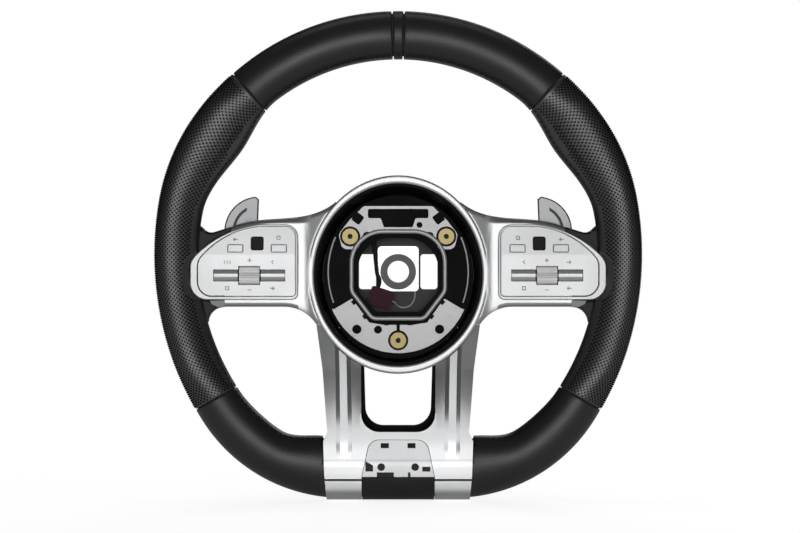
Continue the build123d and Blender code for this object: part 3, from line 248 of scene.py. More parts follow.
def leatherFinish(name, look):
    mix = leatherMix
    material, flow, shader = startMaterial(name, look["colour"], look["roughness"], 0.0, look["specular"])
    shader.inputs["IOR"].default_value = look["ior"]
    mottle = noise(flow, look["mottle"], mix["mottleDetail"]).band(*mix["mottleBand"])
    pebble = cells(flow, look["grain"]).band(*mix["pebbleBand"])
    fine = noise(flow, look["grain"] * mix["fineScale"], mix["fineDetail"])
    shade = mottle * mix["mottleTint"] + pebble * mix["pebbleTint"]
    feed(tint(flow, shade, look["dark"], look["colour"]), shader, "Base Color")
    rough = look["roughness"] + mix["fineRough"] * fine - mix["pebbleRough"] * pebble
    feed(rough + mix["mottleRough"] * mottle, shader, "Roughness")
    height = pebble * mix["pebbleHeight"] + fine * mix["fineHeight"]
    relief(flow, shader, height, look["relief"], look["strength"])
    return material


metalMix = {
    "cloud": 24, "cloudDetail": 4, "cloudBand": (0.25, 0.75), "fineDetail": 2, "cloudTint": 0.5,
    "fineTint": 0.5, "paintedShadeBand": (0.62, 1.0), "plainTint": 0.2, "paintedShadeTint": 0.8, "fineMiddle": 0.5,
    "cloudRough": 0.04,
}
metalPlain = {"metallic": 1.0, "spread": 0.08, "relief": 0.00002, "strength": 0.25}


def metalFinish(name, given):
    mix = metalMix
    look = {**metalPlain, **given}
    material, flow, shader = startMaterial(name, look["colour"], look["roughness"], look["metallic"])
    cloud = noise(flow, mix["cloud"], mix["cloudDetail"]).band(*mix["cloudBand"])
    fine = noise(flow, look["grain"], mix["fineDetail"])
    shade = cloud * mix["cloudTint"] + fine * mix["fineTint"]
    # painted shade: an ambient occlusion mask darkens the colour towards the dark tone in grooves and
    # crevices
    if "paintedShadeReach" in look:
        reach = {"Distance": look["paintedShadeReach"]}
        paintedShade = flow.make("ShaderNodeAmbientOcclusion", {"only_local": True}, reach, out=1)
        shade = shade * mix["plainTint"] + paintedShade.band(*mix["paintedShadeBand"]) * mix["paintedShadeTint"]
    feed(tint(flow, shade, look["dark"], look["colour"]), shader, "Base Color")
    rough = look["roughness"] + look["spread"] * (fine - mix["fineMiddle"])
    feed(rough + mix["cloudRough"] * cloud, shader, "Roughness")
    normal = look["normal"](flow) if "normal" in look else None
    relief(flow, shader, fine, look["relief"], look["strength"], normal)
    return material


def bossFinish(name, look):
    # bright plate, and a collar round the bore coloured darker, with fine rings in its relief
    material, flow, shader = startMaterial(name, look["colour"], look["roughness"], 1.0)
    x, y, z = objectPlace(flow)
    radius = (x * x + z * z).math("SQRT")
    plate = radius.band(look["collar"], look["collar"] + look["collarFade"])
    rings = (radius * look["rings"]).math("SINE")
    feed(tint(flow, plate, look["dark"], look["colour"]), shader, "Base Color")
    rough = look["roughness"] + look["collarRough"] * (1 - plate)
    feed(rough + look["grainRough"] * noise(flow, look["grain"]), shader, "Roughness")
    relief(flow, shader, rings * (1 - plate), look["relief"], look["strength"])
    return material


plasticMix = {"cloud": 30, "cloudDetail": 3, "cloudBand": (0.3, 0.7), "cloudRough": 0.08, "grainMiddle": 0.5}
plasticPlain = {"specular": 0.5, "grain": 1500, "spread": 0.06, "relief": 0.00004, "strength": 0.35}


def plasticFinish(name, given):
    mix = plasticMix
    look = {**plasticPlain, **given}
    material, flow, shader = startMaterial(name, look["colour"], look["roughness"], 0.0, look["specular"])
    cloud = noise(flow, mix["cloud"], mix["cloudDetail"]).band(*mix["cloudBand"])
    grain = cells(flow, look["grain"], "F1")
    feed(tint(flow, cloud, look["dark"], look["colour"]), shader, "Base Color")
    rough = look["roughness"] + mix["cloudRough"] * cloud
    feed(rough + look["spread"] * (grain - mix["grainMiddle"]), shader, "Roughness")
    relief(flow, shader, grain, look["relief"], look["strength"])
    return material


leathers = {
    "smoothLeather": {
        "colour": (0.012, 0.012, 0.013), "dark": (0.007, 0.007, 0.0075), "roughness": 0.33, "specular": 0.85,
        "ior": 1.5, "mottle": 26, "grain": 820, "relief": 0.00008, "strength": 0.4},
    "gripLeather": {
        "colour": (0.012, 0.012, 0.013), "dark": (0.007, 0.007, 0.0075), "roughness": 0.34, "specular": 0.9,
        "ior": 1.75, "mottle": 26, "grain": 1100, "relief": 0.00006, "strength": 0.35},
}
metals = {
    "satinTrim": {
        "colour": (0.64, 0.645, 0.65), "dark": (0.59, 0.595, 0.60), "roughness": 0.33, "grain": 3800,
        "normal": wingNormal},
    "legTrim": {
        "colour": (0.61, 0.615, 0.62), "dark": (0.56, 0.565, 0.57), "roughness": 0.30, "grain": 3800,
        "normal": legNormal},
    "badgeMetal": {
        "colour": (0.54, 0.545, 0.55), "dark": (0.50, 0.505, 0.51), "roughness": 0.34, "grain": 3800,
        "normal": plateNormal},
    "panelSilver": {
        "colour": (0.74, 0.745, 0.75), "dark": (0.69, 0.695, 0.70), "roughness": 0.36, "grain": 5200,
        "metallic": 0.75},
    "keySilver": {
        "colour": (0.54, 0.545, 0.55), "dark": (0.50, 0.505, 0.51), "roughness": 0.34, "grain": 5200,
        "metallic": 0.8},
    "rockerSilver": {
        "colour": (0.70, 0.705, 0.71), "dark": (0.65, 0.655, 0.66), "roughness": 0.34, "grain": 5200,
        "metallic": 0.8, "normal": rockerNormal},
    "rollerMetal": {
        "colour": (0.66, 0.66, 0.66), "dark": (0.60, 0.60, 0.60), "roughness": 0.40, "grain": 3000,
        "normal": rollerNormal},
    # the paddles' near-black dark tone is painted shade, laid into the groove by the occlusion mask
    "paddleMetal": {
        "colour": (0.36, 0.365, 0.37), "dark": (0.02, 0.02, 0.02), "roughness": 0.36, "grain": 3000,
        "paintedShadeReach": 0.004},
    "barePlate": {
        "colour": (0.50, 0.50, 0.505), "dark": (0.41, 0.41, 0.415), "roughness": 0.40, "grain": 900,
        "spread": 0.16, "strength": 0.3},
    "castMetal": {
        "colour": (0.085, 0.085, 0.088), "dark": (0.055, 0.055, 0.058), "roughness": 0.50, "grain": 700,
        "relief": 0.0001, "strength": 0.6},
    "brightSteel": {
        "colour": (0.62, 0.615, 0.60), "dark": (0.54, 0.535, 0.52), "roughness": 0.26, "grain": 1800},
    "wireSteel": {
        "colour": (0.84, 0.84, 0.84), "dark": (0.74, 0.74, 0.74), "roughness": 0.44, "grain": 2200,
        "metallic": 0.6},
    "brass": {
        "colour": (0.30, 0.245, 0.12), "dark": (0.23, 0.185, 0.085), "roughness": 0.30, "grain": 1800},
}
plastics = {
    "holeShade": {
        "colour": (0.003, 0.003, 0.003), "dark": (0.002, 0.002, 0.002), "roughness": 0.9, "specular": 0.1},
    "thread": {
        "colour": (0.030, 0.030, 0.032), "dark": (0.015, 0.015, 0.016), "roughness": 0.62, "grain": 4200},
    "blackPlastic": {
        "colour": (0.005, 0.005, 0.0055), "dark": (0.003, 0.003, 0.0035), "roughness": 0.46,
        "specular": 0.10},
    "glossBlack": {
        "colour": (0.004, 0.004, 0.004), "dark": (0.002, 0.002, 0.002), "roughness": 0.16, "specular": 0.06,
        "strength": 0.03, "spread": 0.02},
    "insertBlack": {
        "colour": (0.030, 0.030, 0.032), "dark": (0.018, 0.018, 0.019), "roughness": 0.40},
    "blackRubber": {
        "colour": (0.016, 0.016, 0.016), "dark": (0.010, 0.010, 0.010), "roughness": 0.62},
    "plugPlastic": {
        "colour": (0.110, 0.007, 0.036), "dark": (0.075, 0.005, 0.024), "roughness": 0.38, "specular": 0.15,
        "strength": 0.1},
    "whiteSheath": {
        "colour": (0.92, 0.91, 0.89), "dark": (0.86, 0.85, 0.83), "roughness": 0.42},
    "boardGreen": {
        "colour": (0.02, 0.09, 0.04), "dark": (0.015, 0.07, 0.03), "roughness": 0.4},
    "foamGrey": {
        "colour": (0.10, 0.10, 0.10), "dark": (0.07, 0.07, 0.07), "roughness": 0.8},
    # grey for the printed signs, and for the painted shadow lines round the keys
    "signAndShadowGrey": {
        "colour": (0.26, 0.26, 0.265), "dark": (0.22, 0.22, 0.225), "roughness": 0.5, "strength": 0.05},
}
bossSteel = {
    "colour": (0.70, 0.70, 0.69), "dark": (0.11, 0.11, 0.11), "roughness": 0.28, "collar": 0.0138,
    "collarFade": 0.0004, "collarRough": 0.12, "rings": 9000, "grain": 700, "grainRough": 0.05,
    "relief": 0.00003, "strength": 0.4,
}
finishes = {"bossSteel": bossFinish("bossSteel", bossSteel)}
for looks, makeFinish in ((leathers, leatherFinish), (metals, metalFinish), (plastics, plasticFinish)):
    for finishName, look in looks.items():
        finishes[finishName] = makeFinish(finishName, look)

# what the CAD nodes wear, by the start of their names
wears = {
    "satinTrim": ("hub_trim",),
    "legTrim": ("lower_spoke_trim",),
    "badgeMetal": ("badge_plate",),
    "panelSilver": ("switch_frame", "switch_face"),
    "keySilver": ("button",),
    "rockerSilver": ("rocker",),
    "rollerMetal": ("roller",),
    "paddleMetal": ("paddle_left", "paddle_right"),
    "glossBlack": ("touch_pad",),
    "insertBlack": ("bottom_insert",),
    "blackPlastic": ("hub_shroud", "carrier_frame", "harness_block", "switch_housing", "rear_",
                     "paddle_bracket"),
    "barePlate": ("carrier_upper", "carrier_lower"),
    "castMetal": ("hub_casting",),
    "bossSteel": ("hub_boss",),
    "brightSteel": ("paddle_pin",),
    "wireSteel": ("retaining_wire", "side_springs", "rim_core", "cover_screws"),
    "brass": ("guide_bushings",),
    "blackRubber": ("bushing_grommets", "plug_lead"),
    "plugPlastic": ("airbag_plug",),
    "whiteSheath": ("earth_wire",),
    "boardGreen": ("switch_board",),
    "foamGrey": ("rim_foam",),
}
for finishName, starts in wears.items():
    for nodeName, node in nodes.items():
        if nodeName.startswith(starts):
            node.data.materials.clear()
            node.data.materials.append(finishes[finishName])
print("materials on the CAD nodes")


def addPiece(bm, name, materialNames, body="wheel", stands=()):
    bmesh.ops.scale(bm, vec=(mm, mm, mm), verts=bm.verts)
    bmesh.ops.recalc_face_normals(bm, faces=bm.faces)
    mesh = bpy.data.meshes.new(name)
    bm.to_mesh(mesh)
    bm.free()
    for materialName in materialNames:
        mesh.materials.append(finishes[materialName])
    piece = bpy.data.objects.new(name, mesh)
    bpy.context.scene.collection.objects.link(piece)
    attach(piece, body)
    if stands:
        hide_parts(*stands)
    return piece


# the rim's line and sections, in millimetres
rim = {
    "top": 200.8, "radii": (192.1, 157.8, 242.6, 127.3), "ends": (55.0, 79.9, 121.5, 180.0), "plane": -58.0,
    "depth": 32.0, "fullness": 0.0147, "upperSeam": 41.5, "lowerSeam": 119.5, "seamGap": 0.5, "bandHalf": 4.2,
    "groove": 0.9, "bandShare": 0.9,
    "widths": ((0, 37.3), (37, 37.3), (55, 45.0), (84, 34.0), (100, 34.0), (140, 38.5), (148, 38.5),
               (170, 46.5), (180, 46.5)),
    "seamRoll": ((1.2, 0.0), (0.6, 0.12), (0.2, 0.42), (0.0, 1.0)),  # length before the seam, depth there
}


def ease(share):
    return share * share * (3 - 2 * share)


def rimEdge(heading):
    x, z, start = 0.0, rim["top"], 0.0
    for radius, end in zip(rim["radii"], rim["ends"]):
        turn = max(start, min(abs(heading), end))
        x += radius * (sin(radians(turn)) - sin(radians(start)))
        z += radius * (cos(radians(turn)) - cos(radians(start)))
        start = end
    return (x if heading >= 0 else -x), z


def rimWidth(heading):
    knots = rim["widths"]
    for (low, first), (high, second) in zip(knots, knots[1:]):
        if abs(heading) <= high:
            return first + (second - first) * ease((abs(heading) - low) / (high - low))
    return knots[-1][1]


def rimMiddle(heading):
    x, z = rimEdge(heading)
    outward = Vector((sin(radians(heading)), 0, cos(radians(heading))))
    return Vector((x, rim["plane"], z)) - outward * (rimWidth(heading) / 2), outward


def sectionPlace(heading, inset=0.0):
    middle, outward = rimMiddle(heading)
    along = Vector((outward.z, 0, -outward.x))
    wide = outward * (rimWidth(heading) / 2 - inset)
    deep = Vector((0, rim["depth"] / 2 - inset, 0))
    turned = Matrix((wide, deep, along)).transposed().to_4x4()
    return Matrix.Translation(middle) @ turned


def degreesFor(length, heading):
    radius = next(r for r, end in zip(rim["radii"], rim["ends"]) if abs(heading) <= end)
    return length / (radius - rimWidth(heading) / 2) * 180 / pi


def sweepRim(bm, stations, segments):
    ring = bmesh.ops.create_circle(bm, segments=segments, radius=1.0)["verts"]
    for vert in ring:
        vert.co *= 1 + rim["fullness"] * sin(2 * atan2(vert.co.y, vert.co.x)) ** 2
    bmesh.ops.transform(bm, matrix=sectionPlace(*stations[0]), verts=ring)
    loop = list(bm.edges)
    rows = []
    for before, after in zip(stations, stations[1:]):
        grown = bmesh.ops.extrude_edge_only(bm, edges=loop)["geom"]
        fresh = set(part for part in grown if isinstance(part, bmesh.types.BMVert))
        links = [part for part in grown if isinstance(part, bmesh.types.BMEdge)]
        loop = [link for link in links if set(link.verts) <= fresh]
        move = sectionPlace(*after) @ sectionPlace(*before).inverted()
        bmesh.ops.transform(bm, matrix=move, verts=list(fresh))
        rows.append([part for part in grown if isinstance(part, bmesh.types.BMFace)])
    return rows


def rolledEnd(heading, inward):
    # the leather's edge is turned down into the seam
    return [(heading + inward * degreesFor(length, heading), inset) for length, inset in rim["seamRoll"]]


def evenHeadings(start, end, step):
    headings = [start]
    while headings[-1] < end:
        headings.append(headings[-1] + degreesFor(step, headings[-1]))
    scale = (end - start) / (headings[-1] - start)
    return [start + (heading - start) * scale for heading in headings]


def runStations(start, end, step):
    first = rolledEnd(start, 1)[::-1]
    last = rolledEnd(end, -1)
    middle = evenHeadings(first[-1][0], last[0][0], step)
    return first + [(heading, 0.0) for heading in middle[1:-1]] + last


def closeEnds(bm):
    bmesh.ops.holes_fill(bm, edges=[edge for edge in bm.edges if edge.is_boundary])


def smoothFaces(bm):
    for face in bm.faces:
        face.smooth = True


def flipToLeft(bm, side):
    if side < 0:
        bmesh.ops.scale(bm, vec=(-1, 1, 1), verts=bm.verts)


def seamSide(seam, towards):
    # a seam's edge, half its gap before or after its middle
    return seam + towards * degreesFor(rim["seamGap"] / 2, seam)


# smooth leather over the top, and the narrow band at 12 o'clock
smoothRun = {"step": 4.0, "bandStep": 2.0, "segments": 64}
for sideName, side in sides.items():
    bm = bmesh.new()
    start = degreesFor(rim["bandHalf"] + rim["groove"], 0) * rim["bandShare"]
    end = seamSide(rim["upperSeam"], -1)
    sweepRim(bm, runStations(start, end, smoothRun["step"]), smoothRun["segments"])
    smoothFaces(bm)
    closeEnds(bm)
    flipToLeft(bm, side)
    covered = ["leather_top_" + sideName]
    addPiece(bm, "topLeather." + sideName, ["smoothLeather"], stands=covered)

bm = bmesh.new()
bandEdge = degreesFor(rim["bandHalf"], 0) * rim["bandShare"]
sweepRim(bm, runStations(-bandEdge, bandEdge, smoothRun["bandStep"]), smoothRun["segments"])
smoothFaces(bm)
closeEnds(bm)
addPiece(bm, "markerBand", ["smoothLeather"], stands=["marker_band"])

# smooth leather over the lower rim, cut off along the silver foot
foot = {"top": (57.7, -129.5), "low": (51.8, -172.0), "runEnd": 178.0, "rolledBefore": 150, "weld": 0.0001}
for sideName, side in sides.items():
    bm = bmesh.new()
    start = seamSide(rim["lowerSeam"], 1)
    stations = runStations(start, foot["runEnd"], smoothRun["step"])
    stations = [(h, inset) for h, inset in stations if inset == 0.0 or h < foot["rolledBefore"]]
    sweepRim(bm, stations, smoothRun["segments"])
    (x0, z0), (x1, z1) = foot["top"], foot["low"]
    normal = Vector((z0 - z1, 0, x1 - x0)).normalized()
    bmesh.ops.bisect_plane(bm, geom=bm.verts[:] + bm.edges[:] + bm.faces[:], dist=foot["weld"],
                           plane_co=(x0, 0, z0), plane_no=normal, clear_inner=True)
    smoothFaces(bm)
    closeEnds(bm)
    flipToLeft(bm, side)
    covered = ["leather_lower_" + sideName]
    addPiece(bm, "lowerLeather." + sideName, ["smoothLeather"], stands=covered)
print("smooth leather done")

# perforated grips, pressed back where the switch panels sit
grip = {"cell": 1.62, "around": 72, "hole": 0.98, "depth": 0.5, "holeCorner": 0.78, "holeWall": 0.06,
        "margin": 2.6, "bareInside": -0.80, "panelClear": 1.2, "behindPanel": -50, "lean": 0.30,
        "leanFade": 9.0}
panel = {"hub": 77.0, "end": 160.0, "low": -21.5, "top": 36.5, "shoulder": (106.0, 8.0), "bow": (137.2, 26.9),
         "shoulderSteps": 10, "shoulderKept": 8, "corner": 13.0, "cornerSteps": 6, "front": -62.4,
         "seat": -57.0, "slope": 3.2, "seatFrom": -0.8, "slopeFrom": 0.3, "pressReach": 8}


def arcThrough(first, middle, last, count):
    # points of the circle through three points
    a, b, c = Vector(first), Vector(middle), Vector(last)
    d = 2 * (a.x * (b.y - c.y) + b.x * (c.y - a.y) + c.x * (a.y - b.y))
    squares = (a.length_squared, b.length_squared, c.length_squared)
    x = (squares[0] * (b.y - c.y) + squares[1] * (c.y - a.y) + squares[2] * (a.y - b.y)) / d
    z = (squares[0] * (c.x - b.x) + squares[1] * (a.x - c.x) + squares[2] * (b.x - a.x)) / d
    centre = Vector((x, z))
    start = atan2(a.y - z, a.x - x)
    turn = (atan2(c.y - z, c.x - x) - start + pi) % (2 * pi) - pi
    radius = (a - centre).length
    steps = [start + turn * i / count for i in range(count + 1)]
    return [(x + radius * cos(step), z + radius * sin(step)) for step in steps]


def roundCorner(before, corner, after, radius, count):
    # an arc that rounds off one corner of an outline
    first = (Vector(before) - Vector(corner)).normalized()
    second = (Vector(after) - Vector(corner)).normalized()
    half = first.angle(second) / 2
    middle = Vector(corner) + (first + second).normalized() * (radius / sin(half))
    nearest = middle - (first + second).normalized() * radius
    run = radius * cos(half) / sin(half)
    return arcThrough(Vector(corner) + first * run, nearest, Vector(corner) + second * run, count)


def panelOutline():
    shoulderX, shoulderZ = panel["shoulder"]
    endTop = (panel["end"], shoulderZ)
    endLow = (panel["end"], panel["low"])
    hubLow = (panel["hub"], panel["low"])
    kept = panel["shoulderKept"]
    shoulder = arcThrough((shoulderX, panel["top"]), panel["bow"], endTop, panel["shoulderSteps"])
    line = [(panel["hub"], panel["top"])] + shoulder[:kept]
    line += roundCorner(shoulder[kept], endTop, endLow, panel["corner"], panel["cornerSteps"])
    line += roundCorner(endTop, endLow, hubLow, panel["corner"], panel["cornerSteps"])
    return line + [hubLow]


panelLine = panelOutline()


def panelDistance(x, z):
    # how far a point lies outside the switch panel's edge, negative inside
    nearest = panel["end"]
    inside = False
    for (ax, az), (bx, bz) in zip(panelLine, panelLine[1:] + panelLine[:1]):
        dx, dz = bx - ax, bz - az
        share = max(0.0, min(1.0, ((x - ax) * dx + (z - az) * dz) / (dx * dx + dz * dz)))
        nearest = min(nearest, hypot(x - ax - share * dx, z - az - share * dz))
        if (az > z) != (bz > z) and x < ax + (z - az) / (bz - az) * (bx - ax):
            inside = not inside
    return -nearest if inside else nearest


def pressPanel(bm):
    for vert in bm.verts:
        away = panelDistance(vert.co.x, vert.co.z)
        limit = panel["front"] - panel["slope"] * max(0.0, away - panel["slopeFrom"])
        if away < panel["seatFrom"]:
            limit = panel["seat"]
        if vert.co.y < limit and vert.co.y < rim["plane"] + panel["pressReach"]:
            vert.co.y = limit


def leanCrest(bm, stations, start, end):
    # the grip's crest lies towards the outside, so that the thumb side slopes away
    bm.verts.ensure_lookup_table()
    for row, (heading, inset) in enumerate(stations):
        middle, outward = rimMiddle(heading)
        wide = rimWidth(heading) / 2
        share = max(0.0, min(1.0, min(heading - start, end - heading) / grip["leanFade"]))
        lean = grip["lean"] * wide * ease(share)
        for vert in bm.verts[row * grip["around"]:(row + 1) * grip["around"]]:
            rise = max(0.0, rim["plane"] - vert.co.y) / (rim["depth"] / 2)
            vert.co += outward * (lean * rise * rise)


def perforate(bm, chosen):
    bmesh.ops.inset_individual(bm, faces=chosen, thickness=(grip["cell"] - grip["hole"]) / 2, depth=0.0)
    corners = set(vert for face in chosen for vert in face.verts)
    bmesh.ops.bisect_edges(bm, edges=list(set(edge for face in chosen for edge in face.edges)), cuts=1)
    for face in chosen:
        middle = face.calc_center_median()
        for vert in face.verts:
            if vert in corners:
                vert.co = middle.lerp(vert.co, grip["holeCorner"])
        for edge in face.edges:
            edge.smooth = False
    bmesh.ops.inset_individual(bm, faces=chosen, thickness=grip["holeWall"], depth=-grip["depth"])
    for face in chosen:
        face.material_index = 1
        for edge in face.edges:
            for wall in edge.link_faces:
                wall.material_index = 1


# leather spoke roots: above and below each panel, from the trim's end into the rim
root = {"front": -61.0, "back": -42.2, "round": 2.6, "roundSteps": 4, "fall": 0.62, "gap": 0.3, "lap": 1,
        "topTrim": (129.0, 34.7), "topBend": (141.0, 31.0), "topBow": (147.2, 31.0), "topRim": (150.6, 33.6),
        "topIn": (158.0, 40.0), "topSteps": 6, "lowTrim": (135.0, -27.4), "lowBow": (143.0, -30.6),
        "lowRim": (146.8, -38.6), "lowIn": (156.0, -46.0), "lowSteps": 7, "inside": 161.0}


def rootStrip(bm, edge, inner):
    # a slab between the spoke's edge and the panel, its outer edges rounded
    made = [bm.verts.new((x, root["front"], z)) for x, z in edge + inner]
    face = bm.faces.new(made)
    grown = bmesh.ops.extrude_face_region(bm, geom=[face])["geom"]
    back = [part for part in grown if isinstance(part, bmesh.types.BMVert)]
    bmesh.ops.translate(bm, vec=(0, root["back"] - root["front"], 0), verts=back)
    outline = set(made[:len(edge)])
    reached = [other for vert in outline for link in vert.link_edges for other in link.verts]
    outline |= set(other for other in reached if other in back)
    chosen = [link for link in bm.edges if set(link.verts) <= outline
              and abs(link.verts[0].co.y - link.verts[1].co.y) < root["gap"]]
    bmesh.ops.bevel(bm, geom=chosen, offset=root["round"], segments=root["roundSteps"], profile=0.5,
                    affect="EDGES", material=-1)
    for vert in bm.verts:
        if vert.co.y < rim["plane"] + root["round"]:
            vert.co.y += root["fall"] * max(0.0, panelDistance(vert.co.x, vert.co.z))


for sideName, side in sides.items():
    topX, lowX = root["topTrim"][0], root["lowTrim"][0]
    near = [point for point in panelLine if point[0] > topX]
    upper = [(x + root["gap"], z + root["gap"]) for x, z in near if z > 0]
    lower = [(x + root["gap"], z - root["gap"]) for x, z in near if z < 0]
    lowSide = [point for point in lower if point[0] > lowX]
    topArc = arcThrough(root["topBend"], root["topBow"], root["topRim"], root["topSteps"])
    topEdge = [root["topTrim"]] + topArc + [root["topIn"]]
    topInner = [(root["inside"], upper[-1][1])] + upper[::-1] + [(topX, upper[0][1] + root["lap"])]
    lowEdge = arcThrough(root["lowTrim"], root["lowBow"], root["lowRim"], root["lowSteps"]) + [root["lowIn"]]
    lowInner = [(root["inside"], lowSide[0][1])] + lowSide + [(lowX, lowSide[-1][1])]
    bm = bmesh.new()
    rootStrip(bm, topEdge, topInner)
    rootStrip(bm, lowEdge, lowInner)
    smoothFaces(bm)
    flipToLeft(bm, side)
    covered = ["leather_grip_" + sideName]
    addPiece(bm, "rootLeather." + sideName, ["smoothLeather"], stands=covered)
print("spoke roots done")

for sideName, side in sides.items():
    bm = bmesh.new()
    start = seamSide(rim["upperSeam"], 1)
    end = seamSide(rim["lowerSeam"], -1)
    stations = runStations(start, end, grip["cell"])
    count = grip["around"]
    holes = []
    for row, faces in enumerate(sweepRim(bm, stations, count)):
        heading, inset = stations[row]
        middle, outward = rimMiddle(heading)
        rolled = inset > 0 or stations[row + 1][1] > 0
        if rolled or min(heading - start, end - heading) < degreesFor(grip["margin"], heading):
            continue
        for face in faces:
            centre = face.calc_center_median()
            offset = centre - middle
            across = offset.dot(outward) / (rimWidth(heading) / 2)
            column = int(atan2(offset.y / rim["depth"] * 2, across) / (2 * pi) * count + 2 * count)
            clear = panelDistance(centre.x, centre.z) > grip["panelClear"] or centre.y > grip["behindPanel"]
            if (row + column) % 2 == 0 and across > grip["bareInside"] and clear:  # every other cell
                holes.append(face)
    leanCrest(bm, stations, start, end)
    pressPanel(bm)
    smoothFaces(bm)
    perforate(bm, holes)
    closeEnds(bm)
    flipToLeft(bm, side)
    covered = ["leather_grip_" + sideName]
    worn = ["gripLeather", "holeShade"]
    addPiece(bm, "gripLeather." + sideName, worn, stands=covered)
    print("grip", sideName, len(holes), "holes")

# stitching along the inner edge of the rim
stitch = {"every": 5.2, "half": 1.7, "thick": 0.42, "turn": 205.0, "slant": 0.28, "lift": 0.15, "segments": 6,
          "rings": 5, "runs": ((2.6, 40.4), (42.6, 67.0), (111.0, 118.6), (120.4, 168.0))}


def addStitch(bm, heading):
    middle, outward = rimMiddle(heading)
    turn = radians(stitch["turn"])
    along = Vector((outward.z, 0, -outward.x))
    normal = (outward * cos(turn) + Vector((0, sin(turn), 0))).normalized()
    inward = outward * (rimWidth(heading) / 2 * cos(turn))
    place = middle + inward + Vector((0, rim["depth"] / 2 * sin(turn), 0))
    slant = (along + normal.cross(along) * stitch["slant"]).normalized()
    axes = Matrix((slant * stitch["half"], slant.cross(normal) * stitch["thick"], normal * stitch["thick"]))
    lifted = Matrix.Translation(place + normal * stitch["lift"])
    laid = lifted @ axes.transposed().to_4x4() @ Matrix.Rotation(pi / 2, 4, "Y")
    bmesh.ops.create_uvsphere(bm, u_segments=stitch["segments"], v_segments=stitch["rings"], radius=1.0,
                              matrix=laid)


for sideName, side in sides.items():
    bm = bmesh.new()
    for first, last in stitch["runs"]:
        for heading in evenHeadings(first, last, stitch["every"]):
            addStitch(bm, heading)
    smoothFaces(bm)
    flipToLeft(bm, side)
    addPiece(bm, "stitching." + sideName, ["thread"])
print("stitching done")

# silver corners that round off the opening between the legs, and pointed ends for the wings' lower strips
web = {"centre": (14.4, -108.5), "radius": 14.0, "turn": -90.0, "steps": 10, "side": 29.4, "low": -124.0,
       "front": -71.3, "level": -121.0, "slope": 0.152, "leg": 24.0, "fall": 0.09, "thick": 2.5}
tip = {"line": ((133.4, -27.2), (139.0, -26.9), (143.4, -24.9), (144.6, -22.2), (133.4, -21.9)),
       "front": -61.2, "level": -21.9, "slope": 0.30, "thick": 3.0}


def slab(bm, line, thick):
    made = [bm.verts.new(point) for point in line]
    grown = bmesh.ops.extrude_face_region(bm, geom=[bm.faces.new(made)])["geom"]
    back = [part for part in grown if isinstance(part, bmesh.types.BMVert)]
    bmesh.ops.translate(bm, vec=(0, thick, 0), verts=back)


def webFront(x, z):
    return web["front"] + web["slope"] * (z - web["level"]) + web["fall"] * max(0.0, x - web["leg"])


for sideName, side in sides.items():
    bm = bmesh.new()
    x, z = web["centre"]
    turns = [radians(web["turn"] * step / web["steps"]) for step in range(web["steps"] + 1)]
    line = [(x + web["radius"] * cos(turn), z + web["radius"] * sin(turn)) for turn in turns]
    line += [(x, web["low"]), (web["side"], web["low"]), (web["side"], z)]
    slab(bm, [(px, webFront(px, pz), pz) for px, pz in line], web["thick"])
    flipToLeft(bm, side)
    addPiece(bm, "openingCorner." + sideName, ["legTrim"])
    bm = bmesh.new()
    line = [(px, tip["front"] + tip["slope"] * (tip["level"] - pz), pz) for px, pz in tip["line"]]
    slab(bm, line, tip["thick"])
    flipToLeft(bm, side)
    addPiece(bm, "stripTip." + sideName, ["satinTrim"])
print("trim corners and tips done")

# generic printed signs on the switch panels, and painted shadow lines round the keys where their gaps would
# shade: strokes by their place, length and turn
signAndShadowStrokes = {"stroke": 0.5, "thick": 0.08, "front": -62.0, "crease": 13.2, "lean": 1.8, "top": 36.5}
signAndShadowShapes = {
    "plus": ((0, 0, 3.2, 0), (0, 0, 3.2, 90)),
    "minus": ((0, 0, 3.2, 0),),
    "bars": ((-2.2, 0, 2.6, 90), (0, 0, 2.6, 90), (2.2, 0, 2.6, 90)),
    "left": ((0.4, 0, 3.4, 0), (-0.7, 0.6, 1.9, 45), (-0.7, -0.6, 1.9, -45)),
    "right": ((-0.4, 0, 3.4, 0), (0.7, 0.6, 1.9, -45), (0.7, -0.6, 1.9, 45)),
    "frame": ((0, 1.2, 2.9, 0), (0, -1.2, 2.9, 0), (1.2, 0, 2.9, 90), (-1.2, 0, 2.9, 90)),
    "chevron": ((0, 0.7, 2.1, 45), (0, -0.7, 2.1, -45)),
    # painted shadow: a grey outline standing for the shaded gap round each key
    "keyGapShadow": ((0, 2.95, 11.9, 0), (0, -2.95, 11.9, 0), (5.95, 0, 5.9, 90), (-5.95, 0, 5.9, 90)),
}
signAndShadowPlaces = {
    "left": (("left", -125.3, 24.9), ("frame", -92.0, 26.2), ("bars", -131.4, 7.5), ("plus", -114.2, 8.9),
             ("chevron", -96.6, 7.5), ("frame", -131.4, -12.6), ("minus", -114.2, -13.9),
             ("right", -96.6, -12.6), ("keyGapShadow", -125.1, 18.0), ("keyGapShadow", -91.7, 18.0)),
    "right": (("frame", 92.0, 26.2), ("left", 125.3, 24.9), ("chevron", 96.6, 7.5), ("plus", 114.2, 8.9),
              ("right", 131.4, 7.5), ("frame", 96.6, -12.6), ("minus", 114.2, -13.9), ("left", 131.4, -12.6),
              ("keyGapShadow", 125.1, 18.0), ("keyGapShadow", 91.7, 18.0)),
}
faceSlope = signAndShadowStrokes["lean"] / (signAndShadowStrokes["top"] - signAndShadowStrokes["crease"])
